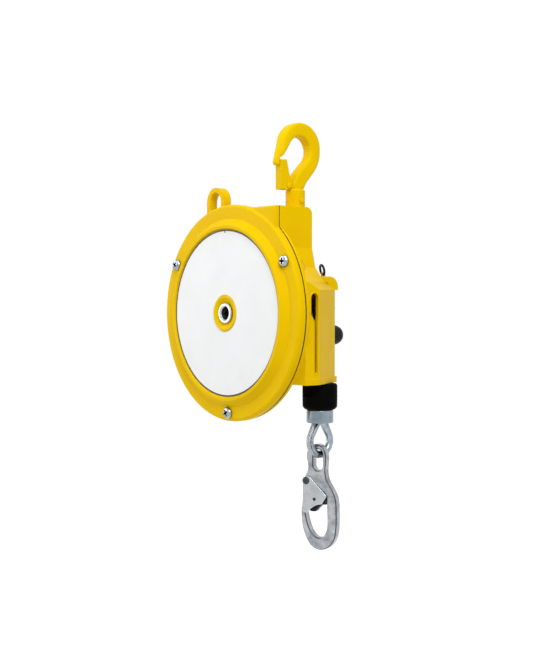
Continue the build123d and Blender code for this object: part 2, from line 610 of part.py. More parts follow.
def sleeve():
    """Zinc plated collar: its floor sits round the ferrule and its skirt round the parting legs."""
    body = rod(SLEEVE_R, (ROPE_X, ROPE_Y, SLEEVE_BOTTOM_Z), (ROPE_X, ROPE_Y, BUMPER_BOTTOM_Z))
    body = chamfer(body.edges().sort_by(Axis.Z)[0], 0.8)
    body -= rod(SLEEVE_BORE_R, (ROPE_X, ROPE_Y, SLEEVE_BOTTOM_Z - 1), (ROPE_X, ROPE_Y, BUMPER_BOTTOM_Z - 2))
    return body - rod(FERRULE_R, (ROPE_X, ROPE_Y, SLEEVE_BOTTOM_Z), (ROPE_X, ROPE_Y, BUMPER_BOTTOM_Z + 1))


def ferrule():
    """Pressed ferrule that joins the two rope legs."""
    body = rod(FERRULE_R, (ROPE_X, ROPE_Y, FERRULE_BOTTOM_Z), (ROPE_X, ROPE_Y, FERRULE_TOP_Z))
    for side in (-1, 1):
        y = ROPE_Y + side * LEG_HALF
        body -= rod(ROPE_R + RUN_GAP, (ROPE_X, y, FERRULE_BOTTOM_Z - 1), (ROPE_X, y, FERRULE_TOP_Z - 2))
    return body


def eye_path(radius, half, top_z):
    """Teardrop in the rope's plane: two straight legs and the round below."""
    rise = top_z - LOOP_Z
    away = sqrt(half ** 2 + rise ** 2)
    touch = atan2(rise, half) - acos(radius / away)
    y, z = radius * cos(touch), radius * sin(touch)
    right = Line((ROPE_X, ROPE_Y + half, top_z), (ROPE_X, ROPE_Y + y, LOOP_Z + z))
    bend = ThreePointArc((ROPE_X, ROPE_Y + y, LOOP_Z + z), (ROPE_X, ROPE_Y, LOOP_Z - radius),
                         (ROPE_X, ROPE_Y - y, LOOP_Z + z))
    left = Line((ROPE_X, ROPE_Y - y, LOOP_Z + z), (ROPE_X, ROPE_Y - half, top_z))
    return Wire([right, bend, left])


def rope_loop():
    """Rope round the thimble, with both legs in the ferrule."""
    path = eye_path(LOOP_R, LEG_HALF, LOOP_TOP_Z)
    loop = sweep(Plane(path @ 0, z_dir=path % 0) * Circle(ROPE_R), path=path)
    for side in (-1, 1):
        y = ROPE_Y + side * LEG_HALF
        loop += rod(ROPE_R, (ROPE_X, y, LOOP_TOP_Z), (ROPE_X, y, FERRULE_TOP_Z - 2))
        loop += Pos(ROPE_X, y, LOOP_TOP_Z) * Sphere(ROPE_R)
    return loop


def thimble():
    """Grooved steel thimble inside the rope eye."""
    path = eye_path(LOOP_R - THIMBLE_IN, LEG_HALF, THIMBLE_TOP_Z)
    bar = sweep(Plane(path @ 0, z_dir=path % 0) * Circle(THIMBLE_R), path=path)
    groove = eye_path(LOOP_R, LEG_HALF, LOOP_TOP_Z)
    return bar - sweep(Plane(groove @ 0, z_dir=groove % 0) * Circle(ROPE_R + 0.02), path=groove)


def top_hook():
    """Forged hook with a round shank that swivels in the socket."""
    face = outline(
        Line((26.7, BOSS_TOP_Z), (26.7, BOSS_TOP_Z + 5.0)),
        Line((26.7, BOSS_TOP_Z + 5.0), (30.5, BOSS_TOP_Z + 12.3)),
        Line((30.5, BOSS_TOP_Z + 12.3), (40.5, BOSS_TOP_Z + 22.4)),
        ThreePointArc((40.5, BOSS_TOP_Z + 22.4), (44.4, BOSS_TOP_Z + 27.3), (REST_Y + BOWL_R, REST_Z)),
        ThreePointArc((REST_Y + BOWL_R, REST_Z), (REST_Y, REST_Z + BOWL_R), (23.6, BOSS_TOP_Z + 37.3)),
        Line((23.6, BOSS_TOP_Z + 37.3), (14.0, BOSS_TOP_Z + 23.0)),
        ThreePointArc((14.0, BOSS_TOP_Z + 23.0), (10.2, BOSS_TOP_Z + 18.4), (8.5, BOSS_TOP_Z + 22.0)),
        Line((8.5, BOSS_TOP_Z + 22.0), (14.9, BOSS_TOP_Z + 37.6)),
        ThreePointArc((14.9, BOSS_TOP_Z + 37.6), (35.6, BOSS_TOP_Z + 55.8), (57.0, BOSS_TOP_Z + 34.5)),
        ThreePointArc((57.0, BOSS_TOP_Z + 34.5), (55.2, BOSS_TOP_Z + 23.2), (49.8, BOSS_TOP_Z + 14.4)),
        Line((49.8, BOSS_TOP_Z + 14.4), (41.3, BOSS_TOP_Z + 5.0)),
        Line((41.3, BOSS_TOP_Z + 5.0), (38.7, BOSS_TOP_Z)),
        Line((38.7, BOSS_TOP_Z), (26.7, BOSS_TOP_Z)),
    )
    body = extrude(Plane.YZ.offset(HOOK_X - HOOK_T / 2) * face, HOOK_T)
    plan = make_face(Polyline((HOOK_X - HOOK_T, 70), (HOOK_X - HOOK_T, 30), (HOOK_X - TIP_T / 2, 8),
                              (HOOK_X + TIP_T / 2, 8), (HOOK_X + HOOK_T, 30), (HOOK_X + HOOK_T, 70), close=True))
    body = body & Pos(0, 0, BOSS_TOP_Z - 10) * extrude(plan, 80)
    rims = body.edges().group_by(Axis.X)[0] + body.edges().group_by(Axis.X)[-1]
    body = fillet([edge for edge in rims if edge.center().Z > BOSS_TOP_Z + 0.1], HOOK_EDGE)
    seat_y = LATCH_Y - LATCH_FRONT - 0.2
    seat_z = LATCH_Z + LATCH_L + 2.0
    body -= Pos(HOOK_X, seat_y + 6, seat_z - 6) * Box(HOOK_T, 12, 12)
    lug = extrude(Plane.YZ.offset(HOOK_X - LUG_T / 2) * (
        Pos(LATCH_Y, LATCH_Z) * Circle(3.2) + Pos((LATCH_Y + HOOK_Y) / 2, LATCH_Z + 0.6) * Rectangle(
            HOOK_Y - LATCH_Y, 5.2)), LUG_T)
    shank = rod(SHANK_R, (HOOK_X, HOOK_Y, SHANK_BOTTOM_Z + 1), (HOOK_X, HOOK_Y, BOSS_TOP_Z + 3))
    ring = rod(SHANK_R + 1, (HOOK_X, HOOK_Y, RETAINER_Z - RETAINER_R), (HOOK_X, HOOK_Y, RETAINER_Z + RETAINER_R))
    ring -= rod(SHANK_R - 1.6, (HOOK_X, HOOK_Y, RETAINER_Z - 9), (HOOK_X, HOOK_Y, RETAINER_Z + 9))
    body = body + lug + shank - ring
    return body - rod(LATCH_PIN_R, (HOOK_X - 9, LATCH_Y, LATCH_Z), (HOOK_X + 9, LATCH_Y, LATCH_Z))


def retainer():
    """Dog point screw that keeps the shank in its socket."""
    head = rod(RETAINER_R, (HOOK_X + SHANK_R + 0.4, HOOK_Y, RETAINER_Z), (HOOK_X + BOSS_R + 0.4, HOOK_Y, RETAINER_Z))
    tip = rod(1.4, (HOOK_X + SHANK_R - 1.3, HOOK_Y, RETAINER_Z), (HOOK_X + SHANK_R + 0.4, HOOK_Y, RETAINER_Z))
    return head + tip


def hook_latch():
    """Spring latch folded from sheet, closed against the inside of the hook's tip."""
    half = LATCH_W / 2
    front = -LATCH_FRONT
    side = make_face(Polyline((front, -3.4), (0, -3.5), (2.4, 2.5), (-2.4, LATCH_L), (front, LATCH_L), close=True))
    body = extrude(Plane.YZ.offset(-half) * (side + Circle(3.5)), LATCH_W)
    inner = half - LATCH_SHEET
    body -= Pos(0, front + LATCH_SHEET + 9, LATCH_L / 2) * Box(2 * inner, 18, 2 * LATCH_L)
    body -= rod(LATCH_PIN_R + RUN_GAP, (-half - 1, 0, 0), (half + 1, 0, 0))
    return Pos(HOOK_X, LATCH_Y, LATCH_Z) * body


def latch_pin():
    """Riveted pivot of the latch."""
    half = LATCH_W / 2 + 0.3
    pin = rod(LATCH_PIN_R, (HOOK_X - half, LATCH_Y, LATCH_Z), (HOOK_X + half, LATCH_Y, LATCH_Z))
    for side in (-1, 1):
        x = HOOK_X + side * half
        pin += rod(2.7, (x, LATCH_Y, LATCH_Z), (x + side * 1.1, LATCH_Y, LATCH_Z))
    return pin


def snap_plane():
    """Plane of the flat snap hook: X across, Y up, seen from the front."""
    turn = radians(SNAP_TURN)
    return Plane((ROPE_X, ROPE_Y, 0), x_dir=(cos(turn), sin(turn), 0), z_dir=(sin(turn), -cos(turn), 0))


def snap_sheet(face, low, high):
    """A flat piece in the snap hook's plane, from low to high towards the front."""
    return extrude(snap_plane().offset(low) * face, high - low)


def snap_hook():
    """Forged flat hook with an eye, a thick spine and a round bowl."""
    face = outline(
        ThreePointArc((-10.9, -121.0), (-1.6, -110.2), (7.4, -120.5)),
        Line((7.4, -120.5), (6.8, -131)),
        ThreePointArc((6.8, -131), (7.6, -137.8), (9.9, -143)),
        Line((9.9, -143), (14, -149.5)),
        ThreePointArc((14, -149.5), (16.4, -154.5), (17.1, -160)),
        Line((17.1, -160), (17.1, -177.5)),
        ThreePointArc((17.1, -177.5), (12.6, -191.6), (1.6, -199.2)),
        ThreePointArc((1.6, -199.2), (-10.4, -190.4), (-15.2, -176.5)),
        Line((-15.2, -176.5), (-15.6, -164.5)),
        ThreePointArc((-15.6, -164.5), (-14.0, -163.0), (-12.4, -164.6)),
        Line((-12.4, -164.6), (-11.2, -172)),
        ThreePointArc((-11.2, -172), (-6.9, -185.0), (0.8, -189.3)),
        ThreePointArc((0.8, -189.3), (6.7, -185.2), (8.6, -177)),
        Line((8.6, -177), (8.3, -156)),
        ThreePointArc((8.3, -156), (6.6, -151.4), (2.0, -149.0)),
        Line((2.0, -149.0), (-8.7, -144.6)),
        ThreePointArc((-8.7, -144.6), (-14.1, -142.1), (-12.6, -138.2)),
        Line((-12.6, -138.2), (-9.4, -130.5)),
        Line((-9.4, -130.5), (-10.9, -121.0)),
    )
    hole = Pos(SNAP_EYE_U, SNAP_EYE_Z) * SlotOverall(SNAP_EYE_L, SNAP_EYE_W, rotation=90)
    tool = snap_sheet(hole, -SNAP_T / 2 - 1, SNAP_T / 2 + 1)
    wide = offset(hole, SNAP_EYE_EDGE)
    for side in (-1, 1):
        low = snap_plane().offset(side * (SNAP_T / 2 - SNAP_EYE_EDGE)) * hole
        high = snap_plane().offset(side * SNAP_T / 2) * wide
        tool += loft([low.face(), high.face()])
    body = snap_sheet(face, -SNAP_T / 2, SNAP_T / 2) - tool
    return body - snap_rod(GATE_PIN_R + RUN_GAP, GATE_U, GATE_Z, -SNAP_T, SNAP_T)


def snap_rod(radius, u, z, low, high):
    """A round bar across the snap hook."""
    return snap_sheet(Pos(u, z) * Circle(radius), low, high)


def snap_gate():
    """Two side plates and a front web: the gate swings into the bowl."""
    plate = outline(
        ThreePointArc((-13.2, -141.8), (-12.0, -138.0), (-8.9, -137.0)),
        Line((-8.9, -137.0), (-6.9, -137.6)),
        Line((-6.9, -137.6), (9.0, -153.2)),
        Line((9.0, -153.2), (4.6, -160.2)),
        ThreePointArc((4.6, -160.2), (-2.0, -162.2), (-6.6, -165.4)),
        Line((-6.6, -165.4), (-9.8, -168.6)),
        Line((-9.8, -168.6), (-13.2, -168.0)),
        Line((-13.2, -168.0), (-14.6, -166.2)),
        Line((-14.6, -166.2), (-13.5, -158.1)),
        Line((-13.5, -158.1), (-13.2, -141.8)),
    ) - Pos(GATE_U, GATE_Z) * Circle(GATE_PIN_R + RUN_GAP) - Pos(LEVER_U, LEVER_Z) * Circle(LEVER_PIN_R)
    inner = SNAP_T / 2 + GATE_GAP
    outer = inner + GATE_SHEET
    return snap_sheet(plate, -outer, -inner) + snap_sheet(plate, inner, outer) + snap_sheet(
        Pos(-12.8, -150.7) * Rectangle(1.2, 10.2), -outer, outer)


def gate_pin():
    """Rivet through the hook's lug and both gate plates."""
    half = SNAP_T / 2 + GATE_GAP + GATE_SHEET
    return snap_rod(GATE_PIN_R, GATE_U, GATE_Z, -half - 0.3, half + 0.3)


def lock_lever():
    """Lever between the gate plates that has to be pressed before the gate opens."""
    face = Pos(LEVER_U, LEVER_Z) * Circle(3.2) + make_face(Polyline(
        (-3.4, -153.9), (1.7, -153.9), (5.7, -157.7), (7.1, -160.9), (3.4, -160.9), (0.2, -163.8),
        (-2.8, -167.3), (-7.2, -167.4), (-7.8, -165.2), (-5.3, -158.5), close=True))
    body = snap_sheet(face, -LEVER_T / 2, LEVER_T / 2)
    return body - snap_rod(LEVER_PIN_R + RUN_GAP, LEVER_U, LEVER_Z, -SNAP_T, SNAP_T)


def lever_pin():
    """Rivet of the lock lever, held in the gate plates."""
    half = SNAP_T / 2 + GATE_GAP + GATE_SHEET - 0.4
    return snap_rod(LEVER_PIN_R, LEVER_U, LEVER_Z, -half, half)


def worm_wheel():
    """Wheel with slanted teeth, on the arbor."""
    pitch_r = MODULE * WHEEL_TEETH / 2
    root_r = pitch_r - 1.25 * MODULE
    hub = turned([
        (ARBOR_R, WORM_Y - WHEEL_T / 2), (root_r + 0.1, WORM_Y - WHEEL_T / 2), (root_r + 0.1, WORM_Y + WHEEL_T / 2),
        (ARBOR_R, WORM_Y + WHEEL_T / 2)])
    half = (pi * MODULE - BACKLASH * 2) / 4
    slope = 0.36
    lean = degrees(MODULE / (2 * WORM_PITCH_R) * (WHEEL_T / 2) / pitch_r)
    tooth = Polyline(
        (root_r - 0.2, -half - slope * 1.25), (pitch_r + MODULE * 0.95, -half + slope * 0.95),
        (pitch_r + MODULE * 0.95, half - slope * 0.95), (root_r - 0.2, half + slope * 1.25), close=True)
    teeth = []
    for number in range(WHEEL_TEETH):
        angle = 360 * (number + 0.5) / WHEEL_TEETH + 90
        front = Pos(0, WORM_Y - WHEEL_T / 2, 0) * Rot(0, -angle - lean, 0) * (Plane.XZ * make_face(tooth))
        back = Pos(0, WORM_Y + WHEEL_T / 2, 0) * Rot(0, -angle + lean, 0) * (Plane.XZ * make_face(tooth))
        teeth.append(loft([front, back], ruled=True))
    return hub + teeth


def worm_shaft():
    """Worm with its shaft; a hexagon socket shows at the hood's end."""
    z = worm_axis_z()
    shaft = rod(WORM_SHAFT_R, (HOOD_LEFT + WALL + 0.5, WORM_Y, z), (HOOD_RIGHT - 0.3, WORM_Y, z))
    core = rod(WORM_PITCH_R - 1.25 * MODULE, (-WORM_HALF, WORM_Y, z), (WORM_HALF, WORM_Y, z))
    pitch = pi * MODULE
    half = (pitch - BACKLASH) / 4
    slope = 0.36
    turns = 2 * int((WORM_HALF - 1) / pitch)
    thread_path = Helix(pitch, pitch * turns, WORM_PITCH_R, center=(-pitch * turns / 2, 0, 0), direction=(1, 0, 0))
    start = thread_path @ 0
    roll = degrees(atan2(start.Z, start.Y)) + 90
    away = Vector(0, start.Y, start.Z).normalized()
    low, high = -1.25 * MODULE - 0.2, MODULE * 0.95
    corners = [(-half - slope * 1.25, low), (half + slope * 1.25, low), (half - slope * 0.95, high),
               (-half + slope * 0.95, high)]
    face = make_face(Polyline(*[start + Vector(1, 0, 0) * a + away * b for a, b in corners], close=True))
    thread = sweep(face, path=thread_path, is_frenet=True)
    thread = Pos(0, WORM_Y, z) * Rot(-roll, 0, 0) * thread
    key = Plane.YZ.offset(HOOD_RIGHT - 6) * Pos(WORM_Y, z) * RegularPolygon(WORM_KEY_AF / 2, 6, major_radius=False)
    return shaft + core + thread - extrude(key, 9)


def ring_hole_z():
    """Height of the cross hole in the lock pin."""
    return HOOD_TOP_Z + 1.4


def lock_pin():
    """Spring pin that holds the worm shaft, with a hole for its ring."""
    z0 = worm_axis_z() + WORM_SHAFT_R + 0.3
    pin = rod(LOCK_PIN_R, (LOCK_X, WORM_Y, z0), (LOCK_X, WORM_Y, HOOD_TOP_Z + 3.6))
    hole = rod(RING_WIRE_R + 0.55, (-4, 0, 0), (4, 0, 0))
    return pin - Pos(LOCK_X, WORM_Y, ring_hole_z()) * Rot(0, 0, RING_TURN) * hole


def pull_ring():
    """Black wire ring through the lock pin."""
    ring = Pos(0, 0, RING_R) * Rot(90, 0, 0) * Torus(RING_R, RING_WIRE_R)
    return Pos(LOCK_X, WORM_Y, ring_hole_z()) * Rot(0, 0, RING_TURN) * Rot(RING_LEAN, 0, 0) * ring


def stop_knob():
    """Round black knob with a dome end."""
    profile = [(0, 0), (KNOB_R - 1.0, 0), (KNOB_R, 1.0), (KNOB_R, KNOB_L - 6.0), (KNOB_R - 1.4, KNOB_L - 2.6),
               (KNOB_R - 4.0, KNOB_L - 0.5), (0, KNOB_L)]
    body = turned(profile) - rod(STOP_PIN_R, (0, -1, 0), (0, 6, 0))
    return Pos(KNOB_X, KNOB_Y, KNOB_Z) * body


def stop_pin():
    """Pin of the knob; pushed in, it enters a hole of the drum."""
    return rod(STOP_PIN_R, (KNOB_X, DRUM_REAR_Y + 0.8, KNOB_Z), (KNOB_X, KNOB_Y + 6, KNOB_Z))


def save(name, shape):
    """Write one sub-part, moved to the frame of the whole part."""
    moved = Pos(-HOOK_X, -REST_Y, -(REST_Z + BOWL_R)) * shape
    moved.label = name
    export_step(moved, "parts/" + name + ".step")


os.makedirs("parts", exist_ok=True)
save("rear_housing", rear_housing())
save("front_cover", front_cover())
save("nameplate", nameplate())
save("cover_screws", cover_screws())
save("gear_case_lid", case_lid())
save("lid_screws", lid_screws())
save("arbor", arbor())
save("worm_wheel", worm_wheel())
save("worm_shaft", worm_shaft())
save("adjuster_lock_pin", lock_pin())
save("pull_ring", pull_ring())
save("drum_bushes", bushes())
save("drum", drum())
save("drum_lid", drum_lid())
save("mainspring", mainspring())
save("rope_on_drum", rope_on_drum())
save("rope_anchor", rope_anchor())
save("rope_lead", rope_lead())
save("rope_run", rope_run())
save("exit_bush", guide_bush())
save("rubber_bumper", bumper())
save("rope_sleeve", sleeve())
save("rope_ferrule", ferrule())
save("rope_loop", rope_loop())
save("thimble", thimble())
save("stop_knob", stop_knob())
save("stop_pin", stop_pin())
save("top_hook", top_hook())
save("hook_retainer", retainer())
save("hook_latch", hook_latch())
save("latch_pin", latch_pin())
save("snap_hook", snap_hook())
save("snap_gate", snap_gate())
save("gate_pin", gate_pin())
save("lock_lever", lock_lever())
save("lever_pin", lever_pin())
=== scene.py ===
import json
import math

import bmesh
import bpy
from mathutils import Matrix, Vector

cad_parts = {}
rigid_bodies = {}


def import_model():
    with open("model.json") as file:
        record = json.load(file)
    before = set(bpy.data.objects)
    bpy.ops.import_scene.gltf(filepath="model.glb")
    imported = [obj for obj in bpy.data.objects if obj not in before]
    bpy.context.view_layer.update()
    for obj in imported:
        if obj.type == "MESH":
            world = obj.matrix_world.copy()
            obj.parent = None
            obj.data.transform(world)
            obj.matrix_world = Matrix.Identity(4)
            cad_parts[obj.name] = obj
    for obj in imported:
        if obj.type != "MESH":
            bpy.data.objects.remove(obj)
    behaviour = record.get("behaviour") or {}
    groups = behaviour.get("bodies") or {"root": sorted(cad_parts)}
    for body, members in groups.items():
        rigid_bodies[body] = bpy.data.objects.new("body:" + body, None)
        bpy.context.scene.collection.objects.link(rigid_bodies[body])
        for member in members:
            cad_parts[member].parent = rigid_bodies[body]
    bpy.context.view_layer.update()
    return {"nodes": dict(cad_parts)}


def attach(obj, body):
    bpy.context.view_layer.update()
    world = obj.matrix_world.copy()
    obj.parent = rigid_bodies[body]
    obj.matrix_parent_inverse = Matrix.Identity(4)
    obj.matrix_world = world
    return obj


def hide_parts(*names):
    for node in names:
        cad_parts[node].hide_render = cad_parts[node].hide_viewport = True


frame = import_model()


# Rear can: one sand casting in aluminium with its corner box, rope guide, chain eye and gear case.
# It is sprayed with a semi gloss yellow enamel that follows the grain of the sand.
# A thin cast bead runs round the keyhole window through which the rope's end is put on the drum.

part_nodes = frame["nodes"]
stage_things = bpy.context.scene.collection.objects
HANG_POINT = (50, 34, 148.8)


def at(x, y, z):
    """Millimetres from the drum's axis and the cover's rim face, in the frame's metres."""
    return Vector(((x - HANG_POINT[0]) / 1000, (y - HANG_POINT[1]) / 1000, (z - HANG_POINT[2]) / 1000))


def new_finish(name):
    """A material with a Principled shader and object coordinates, ready for its nodes."""
    finish = bpy.data.materials.new(name)
    finish.use_nodes = True
    tree = finish.node_tree
    shader = tree.nodes["Principled BSDF"]
    place = tree.nodes.new("ShaderNodeTexCoord")
    return finish, tree, shader, place.outputs["Object"]


def grain(tree, place, cells, detail=3.0, rough=0.55):
    """Noise of so many cells to the metre."""
    noise = tree.nodes.new("ShaderNodeTexNoise")
    noise.inputs["Scale"].default_value = cells
    noise.inputs["Detail"].default_value = detail
    noise.inputs["Roughness"].default_value = rough
    tree.links.new(place, noise.inputs["Vector"])
    return noise.outputs["Fac"]


def tint(tree, factor, low, high, start=0.3, end=0.7):
    """Two colours, blended where the factor lies between start and end."""
    ramp = tree.nodes.new("ShaderNodeValToRGB")
    ramp.color_ramp.elements[0].position = start
    ramp.color_ramp.elements[0].color = (*low, 1)
    ramp.color_ramp.elements[1].position = end
    ramp.color_ramp.elements[1].color = (*high, 1)
    tree.links.new(factor, ramp.inputs["Fac"])
    return ramp.outputs["Color"]


def over(tree, mask, under, top):
    """One colour laid over another where the mask says so."""
    mix = tree.nodes.new("ShaderNodeMix")
    mix.data_type = "RGBA"
    tree.links.new(mask, mix.inputs["Factor"])
    tree.links.new(under, mix.inputs["A"])
    if isinstance(top, tuple):
        mix.inputs["B"].default_value = (*top, 1)
    else:
        tree.links.new(top, mix.inputs["B"])
    return mix.outputs["Result"]


def spread(tree, factor, low, high, start=0.3, end=0.7):
    """The factor stretched to run from low to high."""
    span = tree.nodes.new("ShaderNodeMapRange")
    span.inputs["From Min"].default_value = start
    span.inputs["From Max"].default_value = end
    span.inputs["To Min"].default_value = low
    span.inputs["To Max"].default_value = high
    tree.links.new(factor, span.inputs["Value"])
    return span.outputs["Result"]


def relief(tree, height, depth, normal=None):
    """A bump so many metres deep, on top of another normal."""
    bump = tree.nodes.new("ShaderNodeBump")
    bump.inputs["Distance"].default_value = depth
    tree.links.new(height, bump.inputs["Height"])
    if normal is not None:
        tree.links.new(normal, bump.inputs["Normal"])
    return bump.outputs["Normal"]


def soft_edges(tree, radius):
    """Normals that round the piece's sharp edges."""
    edge = tree.nodes.new("ShaderNodeBevel")
    edge.samples = 6
    edge.inputs["Radius"].default_value = radius
    return edge.outputs["Normal"]


def worn_edges(tree, rounded, start, end):
    """1 along the piece's edges, 0 on its flats: where the rounded normal leaves the true one."""
    true_normal = tree.nodes.new("ShaderNodeNewGeometry").outputs["Normal"]
    agree = tree.nodes.new("ShaderNodeVectorMath")
    agree.operation = "DOT_PRODUCT"
    tree.links.new(rounded, agree.inputs[0])
    tree.links.new(true_normal, agree.inputs[1])
    return spread(tree, agree.outputs["Value"], 1.0, 0.0, start, end)


def enamel(name, low, high, edge_colour, sand, edge):
    """Sprayed enamel: broad tone, orange peel and sand grain, thinner and paler along the edges."""
    finish, tree, shader, place = new_finish(name)
    broad = grain(tree, place, 24, 2.0)
    rounded = soft_edges(tree, edge)
    colour = over(tree, worn_edges(tree, rounded, 0.86, 0.995), tint(tree, broad, low, high), edge_colour)
    tree.links.new(colour, shader.inputs["Base Color"])
    tree.links.new(spread(tree, grain(tree, place, 75, 4.0), 0.30, 0.42), shader.inputs["Roughness"])
    peel = relief(tree, grain(tree, place, 210, 2.0), sand * 3, rounded)
    tree.links.new(relief(tree, grain(tree, place, 1100, 3.0), sand, peel), shader.inputs["Normal"])
    shader.inputs["Specular IOR Level"].default_value = 0.03
    return finish


casting_enamel = enamel("casting_enamel", (0.84, 0.53, 0.0), (0.88, 0.57, 0.0), (0.92, 0.65, 0.02),
                        sand=0.00003, edge=0.0008)


def dress(names, finish):
    """Give CAD pieces their finish."""
    for name in names:
        materials = part_nodes[name].data.materials
        materials.clear()
        materials.append(finish)


dress(["rear_housing"], casting_enamel)


def shaded(mesh, angle=38):
    """Smooth shading that keeps edges sharper than the angle."""
    mesh.shade_smooth()
    mesh.set_sharp_from_angle(angle=math.radians(angle))


def fitted(name, mesh, body, finish, replaced=()):
    """The finished piece: its mesh in place, its finish, its body and the CAD nodes that it stands for."""
    piece = bpy.data.objects.new(name, mesh)
    stage_things.link(piece)
    mesh.materials.clear()
    mesh.materials.append(finish)
    shaded(mesh)
    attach(piece, body)
    if replaced:
        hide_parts(*replaced)
    return piece


def skinned(name, rings, closed_path):
    """A mesh over rings of points, one ring after the other, with its ends filled."""
    mesh = bpy.data.meshes.new(name)
    form = bmesh.new()
    laid = [[form.verts.new(point) for point in ring] for ring in rings]
    pairs = list(zip(laid, laid[1:])) + ([(laid[-1], laid[0])] if closed_path else [])
    for near, far in pairs:
        for this in range(len(near)):
            after = (this + 1) % len(near)
            form.faces.new((near[this], near[after], far[after], far[this]))
    if not closed_path:
        form.faces.new(laid[0])
        form.faces.new(laid[-1])
    bmesh.ops.recalc_face_normals(form, faces=form.faces)
    form.to_mesh(mesh)
    form.free()
    return mesh


def arc_points(centre, radius, start, end, steps):
    """Points on an arc in a plane, angles in degrees."""
    turns = [math.radians(start + (end - start) * step / steps) for step in range(steps + 1)]
    return [(centre[0] + radius * math.cos(turn), centre[1] + radius * math.sin(turn)) for turn in turns]


WINDOW = {"middle": 20.6, "half": 4.0, "top": 17.0, "low": -1.0, "neck": -6.0}
SLOT = {"middle": 22.2, "half": 1.7, "low": -49.0}
BEAD = {"radius": 0.75, "flatness": 0.75, "set_out": 0.7, "face_x": 88.0, "sides": 12}
window_top = WINDOW["top"] - WINDOW["half"]
window_rear, window_front = WINDOW["middle"] - WINDOW["half"], WINDOW["middle"] + WINDOW["half"]
slot_low = SLOT["low"] + SLOT["half"]
slot_rear, slot_front = SLOT["middle"] - SLOT["half"], SLOT["middle"] + SLOT["half"]
bead_line = arc_points((WINDOW["middle"], window_top), WINDOW["half"], 0, 180, 14)
bead_line += [(window_rear, WINDOW["low"]), (slot_rear, WINDOW["neck"])]
bead_line += arc_points((SLOT["middle"], slot_low), SLOT["half"], 180, 360, 8)
bead_line += [(slot_front, WINDOW["neck"]), (window_front, WINDOW["low"])]
bead_rings = []
for this, (y, z) in enumerate(bead_line):
    before, after = Vector(bead_line[this - 1]), Vector(bead_line[(this + 1) % len(bead_line)])
    along = (after - before).normalized()
    side = Vector((along.y, -along.x))
    ring = []
    for turn in [math.tau * step / BEAD["sides"] for step in range(BEAD["sides"])]:
        reach = math.cos(turn) + BEAD["set_out"]
        ring.append(at(BEAD["face_x"] + BEAD["radius"] * BEAD["flatness"] * math.sin(turn),
                       y + (side.x * reach) * BEAD["radius"], z + (side.y * reach) * BEAD["radius"]))
    bead_rings.append(ring)
fitted("keyhole_bead", skinned("keyhole_bead", bead_rings, True), "housing", casting_enamel)


# Drum with its front lid, both bare aluminium castings, turned where they run on bronze bushes.
# The mainspring inside is a blued steel strip; arbor, rope anchor and the two pins are ground steel.
# They are hidden but for the arbor's open end and a glimpse of the drum through the keyhole.

def metal(name, low, high, rough, cells, depth, edge, streak=(1, 1, 1), grime=None):
    """Bare or plated metal: patchy colour and polish, fine tool marks, brighter edges."""
    finish, tree, shader, place = new_finish(name)
    broad = grain(tree, place, cells, 4.0, 0.6)
    colour = tint(tree, broad, low, high)
    if grime:
        patches = spread(tree, grain(tree, place, cells * 0.4, 5.0), 0.0, 0.8, 0.5, 0.72)
        colour = over(tree, patches, colour, grime)
    rounded = soft_edges(tree, edge)
    paler = tuple(min(1.0, part * 1.18) for part in high)
    colour = over(tree, worn_edges(tree, rounded, 0.84, 0.995), colour, paler)
    tree.links.new(colour, shader.inputs["Base Color"])
    tree.links.new(spread(tree, broad, *rough), shader.inputs["Roughness"])
    stretch = tree.nodes.new("ShaderNodeMapping")
    stretch.inputs["Scale"].default_value = streak
    tree.links.new(place, stretch.inputs["Vector"])
    marks = grain(tree, stretch.outputs["Vector"], cells * 7)
    tree.links.new(relief(tree, marks, depth, rounded), shader.inputs["Normal"])
    shader.inputs["Metallic"].default_value = 1.0
    return finish


bare_casting = metal("bare_casting", (0.50, 0.50, 0.49), (0.64, 0.64, 0.63), (0.34, 0.5),
                     cells=160, depth=0.00003, edge=0.0004)
blued_strip = metal("blued_strip", (0.06, 0.07, 0.10), (0.12, 0.13, 0.18), (0.25, 0.4),
                    cells=120, depth=0.00001, edge=0.0002)
sintered_bronze = metal("sintered_bronze", (0.45, 0.27, 0.10), (0.58, 0.37, 0.16), (0.3, 0.45),
                        cells=300, depth=0.00002, edge=0.0002)
ground_steel = metal("ground_steel", (0.40, 0.41, 0.42), (0.56, 0.57, 0.58), (0.2, 0.36),
                     cells=240, depth=0.00001, edge=0.0003, streak=(1, 8, 1))
dress(["drum", "drum_lid", "rope_ferrule"], bare_casting)
dress(["mainspring"], blued_strip)
dress(["drum_bushes", "worm_wheel"], sintered_bronze)
dress(["rope_anchor", "arbor", "adjuster_lock_pin", "stop_pin"], ground_steel)


# Wire rope, 4 mm, six galvanised strands laid round a core, 1.3 m of it wound on the drum.
# It leaves the can through the guide's foot and hangs straight down into the rubber stop.
# There its strands are laid up as geometry, by a lobed section that twists along the line.

ROPE_AT = (68, 44.7)
galvanised = metal("galvanised_wire", (0.26, 0.28, 0.30), (0.48, 0.51, 0.54), (0.28, 0.46),
                   cells=700, depth=0.00002, edge=0.0001, grime=(0.16, 0.16, 0.16))
dress(["rope_on_drum", "rope_lead"], galvanised)


def new_tree(name, sizes):
    """A Geometry Nodes tree with one named number for each size."""
    tree = bpy.data.node_groups.new(name, "GeometryNodeTree")
    tree.interface.new_socket("Geometry", in_out="OUTPUT", socket_type="NodeSocketGeometry")
    for label in sizes:
        tree.interface.new_socket(label, in_out="INPUT", socket_type="NodeSocketFloat")
    return tree, tree.nodes.new("NodeGroupInput"), tree.nodes.new("NodeGroupOutput")


